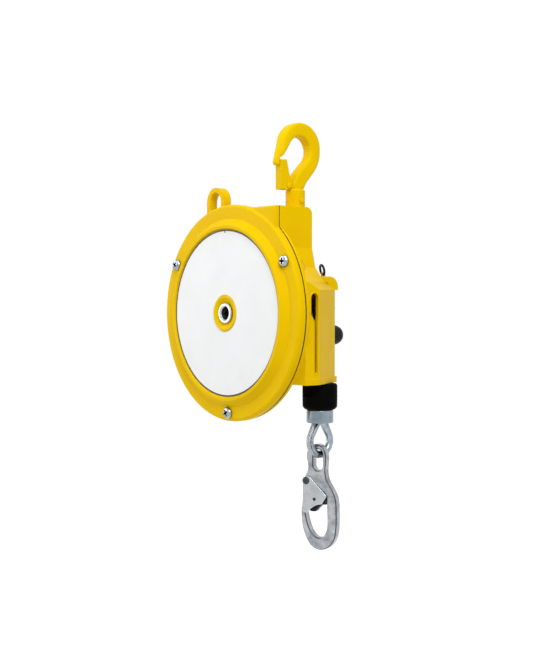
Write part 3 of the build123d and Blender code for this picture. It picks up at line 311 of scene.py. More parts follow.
def sum_of(tree, operation, first, second=None):
    """One Math node; its inputs are sockets or numbers."""
    node = tree.nodes.new("ShaderNodeMath")
    node.operation = operation
    for place, value in enumerate((first, second)):
        if isinstance(value, bpy.types.NodeSocket):
            tree.links.new(value, node.inputs[place])
        elif value is not None:
            node.inputs[place].default_value = value
    return node.outputs[0]


def grown(name, tree, sizes):
    """The plain mesh that a tree makes from its sizes."""
    seed = bpy.data.objects.new(name + "_seed", bpy.data.meshes.new(name + "_seed"))
    stage_things.link(seed)
    maker = seed.modifiers.new("maker", "NODES")
    maker.node_group = tree
    for item in tree.interface.items_tree:
        if item.in_out == "INPUT":
            maker[item.identifier] = float(sizes[item.name])
    depsgraph = bpy.context.evaluated_depsgraph_get()
    mesh = bpy.data.meshes.new_from_object(seed.evaluated_get(depsgraph), depsgraph=depsgraph)
    mesh.name = name
    seed.modifiers.remove(maker)
    bpy.data.objects.remove(seed)
    return mesh


def finish_tree(tree, geometry, group_out, finish):
    """The end of every tree: real geometry with its finish set."""
    real = tree.nodes.new("GeometryNodeRealizeInstances")
    coat = tree.nodes.new("GeometryNodeSetMaterial")
    coat.inputs["Material"].default_value = finish
    tree.links.new(geometry, real.inputs["Geometry"])
    tree.links.new(real.outputs["Geometry"], coat.inputs["Geometry"])
    tree.links.new(coat.outputs["Geometry"], group_out.inputs["Geometry"])


ROPE = {"Radius": 0.002, "Strands": 6, "Groove": 0.2, "Lay": 0.026, "Step": 0.0007}
ROPE_SIDES = 48


def stranded(name, points):
    """Wire rope along a line of points: a lobed section that turns once in every lay."""
    line = bpy.data.curves.new(name + "_line", "CURVE")
    line.dimensions = "3D"
    run = line.splines.new("POLY")
    run.points.add(len(points) - 1)
    for point, place in zip(run.points, points):
        point.co = (*place, 1)
    core = bpy.data.objects.new(name + "_line", line)
    stage_things.link(core)
    tree, given, group_out = new_tree(name + "_tree", ROPE)
    source = tree.nodes.new("GeometryNodeObjectInfo")
    source.inputs["Object"].default_value = core
    even = tree.nodes.new("GeometryNodeResampleCurve")
    even.mode = "LENGTH"
    tree.links.new(source.outputs["Geometry"], even.inputs["Curve"])
    tree.links.new(given.outputs["Step"], even.inputs["Length"])
    along = tree.nodes.new("GeometryNodeSplineParameter").outputs["Length"]
    turn = sum_of(tree, "MULTIPLY", sum_of(tree, "DIVIDE", along, given.outputs["Lay"]), math.tau)
    tilt = tree.nodes.new("GeometryNodeSetCurveTilt")
    tree.links.new(even.outputs["Curve"], tilt.inputs["Curve"])
    tree.links.new(turn, tilt.inputs["Tilt"])
    section = tree.nodes.new("GeometryNodeCurvePrimitiveCircle")
    section.inputs["Resolution"].default_value = ROPE_SIDES
    tree.links.new(given.outputs["Radius"], section.inputs["Radius"])
    index = tree.nodes.new("GeometryNodeInputIndex").outputs[0]
    around = sum_of(tree, "MULTIPLY", index, math.tau / ROPE_SIDES)
    half_strands = sum_of(tree, "DIVIDE", given.outputs["Strands"], 2.0)
    lobe = sum_of(tree, "ABSOLUTE", sum_of(tree, "COSINE", sum_of(tree, "MULTIPLY", around, half_strands)))
    round_lobe = sum_of(tree, "POWER", lobe, 0.6)
    inward = sum_of(tree, "MULTIPLY", given.outputs["Groove"], sum_of(tree, "SUBTRACT", 1.0, round_lobe))
    scaled = tree.nodes.new("ShaderNodeVectorMath")
    scaled.operation = "SCALE"
    tree.links.new(tree.nodes.new("GeometryNodeInputPosition").outputs[0], scaled.inputs[0])
    tree.links.new(sum_of(tree, "SUBTRACT", 1.0, inward), scaled.inputs["Scale"])
    shape = tree.nodes.new("GeometryNodeSetPosition")
    tree.links.new(section.outputs["Curve"], shape.inputs["Geometry"])
    tree.links.new(scaled.outputs[0], shape.inputs["Position"])
    swept = tree.nodes.new("GeometryNodeCurveToMesh")
    swept.inputs["Fill Caps"].default_value = True
    tree.links.new(tilt.outputs["Curve"], swept.inputs["Curve"])
    tree.links.new(shape.outputs["Geometry"], swept.inputs["Profile Curve"])
    finish_tree(tree, swept.outputs["Mesh"], group_out, galvanised)
    mesh = grown(name, tree, ROPE)
    bpy.data.objects.remove(core)
    return mesh


EXIT_Z, HANGING = -58.8, 10.9
hanging = [at(*ROPE_AT, EXIT_Z - HANGING * step / 6) for step in range(7)]
fitted("rope_hanging", stranded("rope_hanging", hanging), "housing", galvanised, ["rope_run"])


# Exit bush: a flared ring of black plastic, pressed into the foot of the rope guide.
# The rope runs through it, so that the steel never rubs on the casting.

def moulded(name, low, high, rough, cells, depth, edge, edge_colour, sheen=0.1):
    """Moulded black goods: faint mottling, a matt skin and paler rubbed edges."""
    finish, tree, shader, place = new_finish(name)
    broad = grain(tree, place, cells, 3.0)
    rounded = soft_edges(tree, edge)
    colour = over(tree, worn_edges(tree, rounded, 0.8, 0.995), tint(tree, broad, low, high), edge_colour)
    tree.links.new(colour, shader.inputs["Base Color"])
    tree.links.new(spread(tree, broad, *rough), shader.inputs["Roughness"])
    tree.links.new(relief(tree, grain(tree, place, cells * 9), depth, rounded), shader.inputs["Normal"])
    shader.inputs["Specular IOR Level"].default_value = sheen
    return finish


black_plastic = moulded("black_plastic", (0.007, 0.007, 0.0075), (0.014, 0.014, 0.015), (0.32, 0.45),
                        cells=130, depth=0.00002, edge=0.0006, edge_colour=(0.03, 0.03, 0.032))
dress(["exit_bush"], black_plastic)


# Worm adjuster: its lid is a turned plate under the same enamel as the can.
# Five black socket screws hold it; the ground worm shaft shows its hexagon at the hood's end.

def eased(points, reach, closed=True):
    """A turned profile whose corners are rounded over the reach."""
    done = []
    for this, point in enumerate(points):
        corner = Vector(point)
        if not closed and this in (0, len(points) - 1):
            done.append(tuple(corner))
            continue
        before, after = Vector(points[this - 1]), Vector(points[(this + 1) % len(points)])
        back, ahead = before - corner, after - corner
        cut = min(reach, back.length / 2.1, ahead.length / 2.1)
        start, end = corner + back.normalized() * cut, corner + ahead.normalized() * cut
        for part in (0.0, 0.33, 0.67, 1.0):
            done.append(tuple(start * (1 - part) ** 2 + corner * 2 * part * (1 - part) + end * part ** 2))
    return done


def lathed(name, profile, steps=96, closed=False):
    """A turned mesh about Z from (radius, height) in millimetres; an open profile ends on the axis."""
    mesh = bpy.data.meshes.new(name)
    form = bmesh.new()
    rings = []
    for radius, height in profile:
        if radius < 0.0001:
            rings.append([form.verts.new((0, 0, height / 1000))] * steps)
        else:
            rings.append([form.verts.new((radius / 1000 * math.cos(math.tau * step / steps),
                                          radius / 1000 * math.sin(math.tau * step / steps), height / 1000))
                          for step in range(steps)])
    pairs = list(zip(rings, rings[1:])) + ([(rings[-1], rings[0])] if closed else [])
    for near, far in pairs:
        for this in range(steps):
            after = (this + 1) % steps
            corners = [near[this], near[after], far[after], far[this]]
            form.faces.new(list(dict.fromkeys(corners)))
    bmesh.ops.recalc_face_normals(form, faces=form.faces)
    form.to_mesh(mesh)
    form.free()
    return mesh


def placed(mesh, centre, towards):
    """The mesh moved so that its own Z axis points towards a direction, through the centre."""
    turn = Vector(towards).to_track_quat("Z", "Y").to_matrix().to_4x4()
    mesh.transform(Matrix.Translation(centre) @ turn)
    return mesh


def cut_out(mesh, tools):
    """The mesh less its tools, as one plain mesh."""
    blank = bpy.data.objects.new("blank", mesh)
    stage_things.link(blank)
    cutters = []
    for tool in tools:
        cutter = bpy.data.objects.new("cutter", tool)
        stage_things.link(cutter)
        cutters.append(cutter)
        cut = blank.modifiers.new("cut", "BOOLEAN")
        cut.object = cutter
        cut.solver = "EXACT"
    depsgraph = bpy.context.evaluated_depsgraph_get()
    result = bpy.data.meshes.new_from_object(blank.evaluated_get(depsgraph), depsgraph=depsgraph)
    for thing in [blank] + cutters:
        bpy.data.objects.remove(thing)
    return result


def block(name, size, centre, taper=1.0):
    """A block in millimetres whose lower end is narrower by the taper."""
    mesh = bpy.data.meshes.new(name)
    form = bmesh.new()
    bmesh.ops.create_cube(form, size=1)
    for vert in form.verts:
        part = taper if vert.co.z < 0 else 1.0
        vert.co = Vector((vert.co.x * size[0] * part + centre[0], vert.co.y * size[1] * part + centre[1],
                          vert.co.z * size[2] + centre[2])) / 1000
    form.to_mesh(mesh)
    form.free()
    return mesh


SCREW_RING = ("Circle", "Height", "First", "Step", "Count", "Turn")


def screws_on_circle(name, screw, finish, sizes):
    """Like screws, stepped round a circle about the drum's axis."""
    model = bpy.data.objects.new(name + "_screw", screw)
    stage_things.link(model)
    tree, given, group_out = new_tree(name + "_tree", SCREW_RING)
    points = tree.nodes.new("GeometryNodePoints")
    tree.links.new(given.outputs["Count"], points.inputs["Count"])
    index = tree.nodes.new("GeometryNodeInputIndex").outputs[0]
    steps_on = sum_of(tree, "MULTIPLY", index, given.outputs["Step"])
    angle = sum_of(tree, "ADD", given.outputs["First"], steps_on)
    spot = tree.nodes.new("ShaderNodeCombineXYZ")
    middle = at(0, 0, 0)
    for axis, wave, base in (("X", "COSINE", middle.x), ("Z", "SINE", middle.z)):
        reach = sum_of(tree, "MULTIPLY", sum_of(tree, wave, angle), given.outputs["Circle"])
        tree.links.new(sum_of(tree, "ADD", reach, base), spot.inputs[axis])
    tree.links.new(given.outputs["Height"], spot.inputs["Y"])
    tree.links.new(spot.outputs[0], points.inputs["Position"])
    source = tree.nodes.new("GeometryNodeObjectInfo")
    source.inputs["Object"].default_value = model
    twist = tree.nodes.new("ShaderNodeCombineXYZ")
    tree.links.new(sum_of(tree, "MULTIPLY", index, given.outputs["Turn"]), twist.inputs["Y"])
    each = tree.nodes.new("GeometryNodeInstanceOnPoints")
    tree.links.new(points.outputs[0], each.inputs["Points"])
    tree.links.new(source.outputs["Geometry"], each.inputs["Instance"])
    tree.links.new(twist.outputs[0], each.inputs["Rotation"])
    finish_tree(tree, each.outputs["Instances"], group_out, finish)
    mesh = grown(name, tree, sizes)
    bpy.data.objects.remove(model)
    return mesh


black_oxide = metal("black_oxide", (0.010, 0.010, 0.011), (0.028, 0.028, 0.030), (0.3, 0.48),
                    cells=260, depth=0.00001, edge=0.0003)
dress(["gear_case_lid"], casting_enamel)
HEAD_R, HEAD_RISE, LID_FACE = 2.75, 2.9, 89
HEXAGON = {"radius": 0.00145, "depth": 0.004, "middle": 0.0032}
head_profile = eased([(0, 0), (HEAD_R, 0), (HEAD_R, HEAD_RISE), (0, HEAD_RISE)], 0.35, False)
hexagon = bpy.data.meshes.new("hexagon")
hexagon_form = bmesh.new()
bmesh.ops.create_cone(hexagon_form, cap_ends=True, segments=6, radius1=HEXAGON["radius"],
                      radius2=HEXAGON["radius"], depth=HEXAGON["depth"],
                      matrix=Matrix.Translation((0, 0, HEXAGON["middle"])))
hexagon_form.to_mesh(hexagon)
hexagon_form.free()
socket_head = cut_out(lathed("socket_head", head_profile, 40), [hexagon])
socket_screw = placed(socket_head, (0, 0, 0), (0, 1, 0))
lid_sizes = {"Circle": 0.0335, "Height": at(0, LID_FACE, 0).y, "First": math.radians(187),
             "Step": math.radians(45), "Count": 5, "Turn": 0.9}
lid_screw_heads = screws_on_circle("lid_screw_heads", socket_screw, black_oxide, lid_sizes)
fitted("lid_screw_heads", lid_screw_heads, "housing", black_oxide, ["lid_screws"])


def sprayed_end(name, from_x):
    """Ground steel whose far end was sprayed over together with the can."""
    finish = metal(name, (0.40, 0.41, 0.42), (0.56, 0.57, 0.58), (0.25, 0.36),
                   cells=240, depth=0.00001, edge=0.0003)
    tree = finish.node_tree
    shader = tree.nodes["Principled BSDF"]
    split = tree.nodes.new("ShaderNodeSeparateXYZ")
    tree.links.new(tree.nodes.new("ShaderNodeTexCoord").outputs["Object"], split.inputs["Vector"])
    sprayed = sum_of(tree, "GREATER_THAN", split.outputs["X"], from_x)
    colour = shader.inputs["Base Color"]
    tree.links.new(over(tree, sprayed, colour.links[0].from_socket, (0.80, 0.50, 0.0)), colour)
    tree.links.new(sum_of(tree, "SUBTRACT", 1.0, sprayed), shader.inputs["Metallic"])
    shader.inputs["Specular IOR Level"].default_value = 0.05
    return finish


dress(["worm_shaft"], sprayed_end("sprayed_shaft", at(37, 0, 0).x))


# Pull ring of the worm's lock pin: black spring wire, bent round until its two ends butt together.
# It hangs loose in the pin's cross hole and is lifted with a finger to free the worm.

RING = {"radius": 4.4, "wire": 1.05, "gap": 4.0, "joint": 110, "turn": -20, "lean": 12,
        "steps": 64, "sides": 14}
ring_place = (Matrix.Translation(at(36, 77.5, 33.4)) @ Matrix.Rotation(math.radians(RING["turn"]), 4, "Z")
              @ Matrix.Rotation(math.radians(RING["lean"]), 4, "X"))
wire_turns = [math.tau * side / RING["sides"] for side in range(RING["sides"])]
ring_rings = []
for step in range(RING["steps"] + 1):
    turn = math.radians(RING["joint"] + RING["gap"] / 2 + (360 - RING["gap"]) * step / RING["steps"])
    reach = Vector((math.cos(turn), 0, math.sin(turn)))
    middle = reach * RING["radius"] + Vector((0, 0, RING["radius"]))
    ring_rings.append([ring_place @ ((middle + reach * RING["wire"] * math.cos(part)
                                      + Vector((0, RING["wire"] * math.sin(part), 0))) / 1000)
                       for part in wire_turns])
fitted("pull_ring_wire", skinned("pull_ring_wire", ring_rings, False), "pull_ring",
       black_oxide, ["pull_ring"])


# Knob of the drum stop: black plastic with a chamfered end, moulded onto the steel pin behind it.
# Pushed in, it holds the drum while the rope is changed.

knob_profile = eased([(0, 0.2), (7.2, 0.2), (8.4, 1.2), (8.4, 10.6), (7.0, 14.0), (4.6, 16.1), (3.4, 16.4),
                      (0, 16.1)], 0.8, False)
knob = placed(lathed("stop_knob_turned", knob_profile), at(50, 68, -19), (0, 1, 0))
fitted("stop_knob_turned", knob, "stop_knob", black_plastic, ["stop_knob"])


# Front cover: a shallow casting with a rounded rim, a sloping shoulder and a raised lip round the label.
# It is painted with the can and screwed onto it; the arbor's open end shows in its middle.

dress(["front_cover"], casting_enamel)


# Joint between cover and can: a thin near-black ring laid in the parting groove as painted shadow, standing
# in for the groove's shade.
# It follows the corner box's ear at the top.

# Painted shadow: near-black finish for the ring in the parting groove.
groove_shade_black = moulded("groove_shade_black", (0.004, 0.003, 0.003), (0.010, 0.008, 0.007), (0.5, 0.7),
                       cells=240, depth=0.00003, edge=0.0002, edge_colour=(0.014, 0.012, 0.01), sheen=0.02)
GROOVE_SHADE = {"reach": 93.1, "width": 6, "front": 6.32, "back": 6.98, "lip": 7.4, "lip_wall": 0.55}
EAR = {"start": 50.2, "end": 70.8, "side": 59.9, "top": 89.4}
EAR_TURNS = [50.1, 50.3, 52, 54, 56.2, 56.4, 59, 62, 66, 70, 70.7, 70.9]
groove_shade_rings = []
for degrees in list(range(50)) + EAR_TURNS + list(range(72, 360)):
    turn = math.radians(degrees)
    reach, lip = GROOVE_SHADE["reach"], GROOVE_SHADE["lip"]
    if EAR["start"] < degrees < EAR["end"]:
        reach, lip = min(EAR["side"] / math.cos(turn), EAR["top"] / math.sin(turn)), GROOVE_SHADE["back"]
    wall, inside = reach - GROOVE_SHADE["lip_wall"], reach - GROOVE_SHADE["width"]
    section = [(reach, GROOVE_SHADE["front"]), (reach, lip), (wall, lip), (wall, GROOVE_SHADE["back"]),
               (inside, GROOVE_SHADE["back"]), (inside, GROOVE_SHADE["front"])]
    groove_shade_rings.append([at(out * math.cos(turn), y, out * math.sin(turn)) for out, y in section])
fitted("joint_gasket", skinned("joint_gasket", groove_shade_rings, True), "housing", groove_shade_black)


# Cover screws: three M6 pan heads with a cross recess, pressed cold and bright zinc plated.
# They are sunk in round spot faces of the cover's rim and screwed into the can's flange.

def with_recess_shade(finish, dark):
    """The same finish, with painted shade where the mesh marks a recess."""
    tree = finish.node_tree
    colour = tree.nodes["Principled BSDF"].inputs["Base Color"]
    mask = tree.nodes.new("ShaderNodeAttribute")
    mask.attribute_name = "recess_shade"
    tree.links.new(over(tree, mask.outputs["Fac"], colour.links[0].from_socket, dark), colour)
    return finish


def recess_shade_marked(mesh, radius, low, below):
    """Marks the faces for painted shade inside a radius and between two heights, in millimetres, before the
    mesh is placed.
    """
    marks = mesh.attributes.new("recess_shade", "FLOAT", "FACE")
    for face in mesh.polygons:
        middle = face.center * 1000
        inside = math.hypot(middle.x, middle.y) < radius and low < middle.z < below
        marks.data[face.index].value = 1.0 if inside else 0.0
    return mesh


bright_zinc = metal("bright_zinc", (0.20, 0.25, 0.29), (0.40, 0.46, 0.51), (0.16, 0.30),
                    cells=170, depth=0.00002, edge=0.0005)
clean_zinc = metal("screw_zinc", (0.22, 0.26, 0.30), (0.44, 0.48, 0.52), (0.14, 0.26),
                   cells=260, depth=0.00002, edge=0.0004)
# Painted shade: the faces inside the screws' cross recess are darkened.
screw_zinc = with_recess_shade(clean_zinc, (0.012, 0.014, 0.02))
pan_profile = eased([(0, 0), (5.1, 0), (5.1, 1.5), (4.1, 3.0), (2.6, 3.45), (0, 3.5)], 0.5, False)
RECESS = {"long": 6.6, "wide": 2.0, "deep": 3.4, "middle": (0, 0, 2.9), "taper": 0.55}
recess = [block("recess_along", (RECESS["long"], RECESS["wide"], RECESS["deep"]), RECESS["middle"],
                RECESS["taper"]),
          block("recess_across", (RECESS["wide"], RECESS["long"], RECESS["deep"]), RECESS["middle"],
                RECESS["taper"])]
pan_head = cut_out(lathed("pan_head", pan_profile, 64), recess)
pan_screw = placed(recess_shade_marked(pan_head, 3.25, 0.2, 3.2), (0, 0, 0), (0, -1, 0))
cover_sizes = {"Circle": 0.086, "Height": at(0, 0, 0).y, "First": math.radians(30),
               "Step": math.radians(120), "Count": 3, "Turn": 0.55}
cover_screw_heads = screws_on_circle("cover_screw_heads", pan_screw, screw_zinc, cover_sizes)
fitted("cover_screw_heads", cover_screw_heads, "housing", screw_zinc, ["cover_screws"])


# Round plate in the cover's recess: thin sheet, printed white and glued down.
# It is left bare but for its dark border line and one tick at the top.

PLATE = {"border_from": 0.0704, "tick_half": 0.0008, "tick_from": 0.0691}


def plate_print():
    """White print whose border line and tick are drawn from the distance to the plate's centre."""
    finish, tree, shader, place = new_finish("plate_print")
    split = tree.nodes.new("ShaderNodeSeparateXYZ")
    tree.links.new(place, split.inputs["Vector"])
    centre = at(0, 0, 0)
    across = sum_of(tree, "SUBTRACT", split.outputs["X"], centre.x)
    up = sum_of(tree, "SUBTRACT", split.outputs["Z"], centre.z)
    away = sum_of(tree, "SQRT", sum_of(tree, "ADD", sum_of(tree, "MULTIPLY", across, across),
                                       sum_of(tree, "MULTIPLY", up, up)))
    border = sum_of(tree, "GREATER_THAN", away, PLATE["border_from"])
    on_line = sum_of(tree, "LESS_THAN", sum_of(tree, "ABSOLUTE", across), PLATE["tick_half"])
    tick = sum_of(tree, "MULTIPLY", on_line, sum_of(tree, "GREATER_THAN", up, PLATE["tick_from"]))
    ink = sum_of(tree, "MAXIMUM", border, tick)
    sheet = tint(tree, grain(tree, place, 45, 4.0), (0.85, 0.86, 0.865), (0.89, 0.90, 0.905))
    tree.links.new(over(tree, ink, sheet, (0.022, 0.032, 0.045)), shader.inputs["Base Color"])
    tree.links.new(spread(tree, grain(tree, place, 60), 0.3, 0.4), shader.inputs["Roughness"])
    tree.links.new(relief(tree, grain(tree, place, 500), 0.00001), shader.inputs["Normal"])
    shader.inputs["Specular IOR Level"].default_value = 0.3
    return finish


dress(["nameplate"], plate_print())


# Top hook: a drop forging whose round shank turns in the can's socket; a dog point screw keeps it there.
# Its folded sheet latch swings on a rivet. Hook, latch, rivet and screw are all under the yellow enamel.

def reshaped(name, node, cell, rounds):
    """A closer mesh of a CAD piece whose sharp corners are worn round over a few cells."""
    blank = bpy.data.objects.new(name + "_blank", part_nodes[node].data.copy())
    stage_things.link(blank)
    weld = blank.modifiers.new("weld", "WELD")
    weld.merge_threshold = 0.000001
    cells = blank.modifiers.new("cells", "REMESH")
    cells.mode = "VOXEL"
    cells.voxel_size = cell
    worn = blank.modifiers.new("worn", "SMOOTH")
    worn.factor = 0.5
    worn.iterations = rounds
    depsgraph = bpy.context.evaluated_depsgraph_get()
    mesh = bpy.data.meshes.new_from_object(blank.evaluated_get(depsgraph), depsgraph=depsgraph)
    mesh.name = name
    bpy.data.objects.remove(blank)
    return mesh


forged_enamel = enamel("forged_enamel", (0.82, 0.535, 0.0), (0.87, 0.58, 0.0), (0.90, 0.64, 0.02),
                       sand=0.00004, edge=0.0005)
hook_forging = reshaped("top_hook_forging", "top_hook", cell=0.0007, rounds=34)
fitted("top_hook_forging", hook_forging, "top_hook", forged_enamel, ["top_hook"])
latch_sheet = reshaped("hook_latch_sheet", "hook_latch", cell=0.0003, rounds=4)
fitted("hook_latch_sheet", latch_sheet, "latch", forged_enamel, ["hook_latch"])


def rivet(name, shank, half, head, rise):
    """A rivet about Z: a plain shank with a domed head at each end, in millimetres."""
    top = [(head, half), (head * 0.97, half + rise * 0.35), (head * 0.78, half + rise * 0.75),
           (head * 0.42, half + rise * 0.97), (0, half + rise)]
    side = [(shank, half)] + eased(top, 0.15, False)
    return lathed(name, [(r, -h) for r, h in reversed(side)] + side, 40)


latch_rivet = placed(rivet("latch_rivet", shank=1.6, half=3.7, head=2.7, rise=1.1), at(50, 23, 107.2),
                     (1, 0, 0))
fitted("latch_rivet", latch_rivet, "top_hook", forged_enamel, ["latch_pin"])
retainer_profile = eased([(0, -6.0), (1.8, -6.0), (1.8, 0), (2.5, 0.1), (2.4, 0.7), (1.5, 1.35), (0, 1.5)],
                         0.3, False)
retainer = placed(lathed("retainer_screw", retainer_profile, 40), at(58.1, 32.7, 95), (1, 0, 0))
fitted("retainer_screw", retainer, "housing", forged_enamel, ["hook_retainer"])


# Rope end: a moulded rubber stop with its flash line, and a bright plated collar under it.
# The rope goes round a thimble and back into a pressed ferrule, hidden in the rubber stop.

moulded_rubber = moulded("moulded_rubber", (0.0016, 0.0016, 0.0017), (0.003, 0.003, 0.0032), (0.5, 0.65),
                         cells=110, depth=0.00004, edge=0.0005, edge_colour=(0.006, 0.006, 0.0065),
                         sheen=0.015)
upper_wall = eased([(2.7, EXIT_Z), (13.6, EXIT_Z), (14.7, -60.2), (14.75, -69.5)], 0.5, False)
flash_line = [(14.9, -69.8), (14.75, -70.1)]
lower_wall = eased([(14.75, -70.1), (14.6, -78.4), (12.6, -80.7), (5.2, -80.9)], 0.9, False)[1:]
stop_profile = upper_wall[:-1] + [(14.75, -69.5)] + flash_line + lower_wall + [(5.2, -70.0), (2.7, -70.0)]
rubber_stop = placed(lathed("rubber_stop", stop_profile, 96, True), at(*ROPE_AT, 0), (0, 0, 1))
fitted("rubber_stop", rubber_stop, "rope_end", moulded_rubber, ["rubber_bumper"])
collar_profile = eased([(5.25, -80.95), (10.9, -80.95), (11.3, -81.6), (11.3, -90.9), (11.0, -92.0),
                        (9.7, -92.0), (9.4, -91.2), (9.4, -82.9), (5.25, -82.9)], 0.4)
turned_zinc = metal("turned_zinc", (0.16, 0.205, 0.245), (0.29, 0.35, 0.40), (0.16, 0.30),
                    cells=60, depth=0.00002, edge=0.0004, streak=(1, 1, 6))
collar = placed(lathed("collar", collar_profile, 80, True), at(*ROPE_AT, 0), (0, 0, 1))
fitted("collar", collar, "rope_end", turned_zinc, ["rope_sleeve"])


def teardrop(radius, half, top, low_centre=-107.7, steps=40):
    """The eye's line in the rope's plane, as (sideways, height): a leg, the round below and a leg."""
    rise = top - low_centre
    touch = math.degrees(math.atan2(rise, half) - math.acos(radius / math.hypot(half, rise)))
    bend = arc_points((0, low_centre), radius, touch, -180 - touch, steps)
    legs = [(half + (bend[0][0] - half) * part / 8, top + (bend[0][1] - top) * part / 8) for part in range(8)]
    return legs + bend + [(-side, height) for side, height in reversed(legs)]


LEG = 2.3
eye_legs = [(LEG, -72.0), (LEG, -76.0), (LEG, -80.0)]
eye_line = eye_legs + teardrop(12.6, LEG, -84.0) + [(-side, height) for side, height in reversed(eye_legs)]
rope_eye = stranded("rope_eye", [at(ROPE_AT[0], ROPE_AT[1] + side, height) for side, height in eye_line])
fitted("rope_eye", rope_eye, "rope_end", galvanised, ["rope_loop"])

thimble_line = teardrop(11.0, LEG, -91.0, steps=56)
thimble_section = arc_points((0, 0), 2.9, 12, -192, 22) + [(-2.75, 1.0), (-2.2, 1.05)] + arc_points(
    (0, 1.6), 2.06, 196, 344, 14) + [(2.2, 1.05), (2.75, 1.0)]
thimble_rings = []
for this, spot in enumerate(thimble_line):
    before = Vector(thimble_line[max(this - 1, 0)])
    after = Vector(thimble_line[min(this + 1, len(thimble_line) - 1)])
    along = (after - before).normalized()
    outward = Vector((-along.y, along.x))
    thimble_rings.append([at(ROPE_AT[0] + x, ROPE_AT[1] + spot[0] + outward.x * out,
                             spot[1] + outward.y * out) for x, out in thimble_section])
fitted("thimble_sheet", skinned("thimble_sheet", thimble_rings, False), "rope_end", bright_zinc,
       ["thimble"])


# Snap hook: a flat drop forging, zinc plated, that hangs by its eye in the thimble.
# Its gate is two pressed plates joined by a web and riveted to the hook; a black lever locks it.

HOOK_TURN = math.radians(21)
hook_front = (math.sin(HOOK_TURN), -math.cos(HOOK_TURN), 0)


def painted_shade_rounds(finish, dark):
    """The same finish, with painted shade on the rounded edges between a flat forging's faces and its sides.
    """
    tree = finish.node_tree
    colour = tree.nodes["Principled BSDF"].inputs["Base Color"]
    dot = tree.nodes.new("ShaderNodeVectorMath")
    dot.operation = "DOT_PRODUCT"
    dot.inputs[1].default_value = hook_front
    tree.links.new(tree.nodes.new("ShaderNodeTexCoord").outputs["Normal"], dot.inputs[0])
    facing = sum_of(tree, "ABSOLUTE", dot.outputs["Value"])
    off_side = spread(tree, facing, 0.0, 1.0, 0.12, 0.4)
    off_face = spread(tree, facing, 1.0, 0.0, 0.8, 0.98)
    band = sum_of(tree, "MULTIPLY", off_side, off_face)
    tree.links.new(over(tree, band, colour.links[0].from_socket, dark), colour)
    return finish


plain_zinc = metal("forged_zinc", (0.24, 0.26, 0.28), (0.50, 0.52, 0.54), (0.18, 0.34),
                   cells=150, depth=0.00005, edge=0.0003, grime=(0.20, 0.22, 0.24))
# Painted shade: a dark band along the snap hook's rounded edges stands in for a dark reflection there.
forged_zinc = painted_shade_rounds(plain_zinc, (0.045, 0.055, 0.07))
pressed_zinc = metal("pressed_zinc", (0.40, 0.42, 0.44), (0.54, 0.555, 0.57), (0.2, 0.32),
                     cells=90, depth=0.00001, edge=0.0003)
gate_plates = reshaped("gate_plates", "snap_gate", cell=0.00035, rounds=4)
fitted("gate_plates", gate_plates, "snap_gate", pressed_zinc, ["snap_gate"])
lever_pressing = reshaped("lock_lever_pressing", "lock_lever", cell=0.0004, rounds=4)
fitted("lock_lever_pressing", lever_pressing, "lock_lever", black_oxide, ["lock_lever"])


def in_hook(across, height):
    """A point in the snap hook's turned plane."""
    return at(ROPE_AT[0] + across * math.cos(HOOK_TURN), ROPE_AT[1] + across * math.sin(HOOK_TURN), height)


def smooth_line(points, parts=5):
    """A closed line drawn smoothly through its points."""
    line = []
    for this in range(len(points)):
        a, b, c, d = (Vector(points[(this + step) % len(points)]) for step in (-1, 0, 1, 2))
        for part in [step / parts for step in range(parts)]:
            line.append(0.5 * (2 * b + (c - a) * part + (2 * a - 5 * b + 4 * c - d) * part ** 2
                               + (3 * b - a - 3 * c + d) * part ** 3))
    return line


def plate_with_holes(name, lines, half, round_edge):
    """A flat forging in the hook's plane: filled outlines in millimetres, so thick, with rounded edges."""
    curve = bpy.data.curves.new(name + "_line", "CURVE")
    curve.dimensions = "2D"
    curve.fill_mode = "BOTH"
    curve.extrude = (half - round_edge) / 1000
    curve.bevel_depth = round_edge / 1000
    curve.bevel_resolution = 4
    curve.offset = -round_edge / 1000
    for line in lines:
        run = curve.splines.new("POLY")
        run.points.add(len(line) - 1)
        run.use_cyclic_u = True
        for point, place in zip(run.points, line):
            point.co = (place[0] / 1000, place[1] / 1000, 0, 1)
    drawn = bpy.data.objects.new(name + "_line", curve)
    stage_things.link(drawn)
    depsgraph = bpy.context.evaluated_depsgraph_get()
    mesh = bpy.data.meshes.new_from_object(drawn.evaluated_get(depsgraph), depsgraph=depsgraph)
    mesh.name = name
    bpy.data.objects.remove(drawn)
    across = Vector((math.cos(HOOK_TURN), math.sin(HOOK_TURN), 0))
    stand = Matrix((across, (0, 0, 1), hook_front)).transposed().to_4x4()
    mesh.transform(Matrix.Translation(at(*ROPE_AT, 0)) @ stand)
    form = bmesh.new()
    form.from_mesh(mesh)
    bmesh.ops.remove_doubles(form, verts=form.verts, dist=0.000005)
    bmesh.ops.recalc_face_normals(form, faces=form.faces)
    form.to_mesh(mesh)
    form.free()
    return mesh


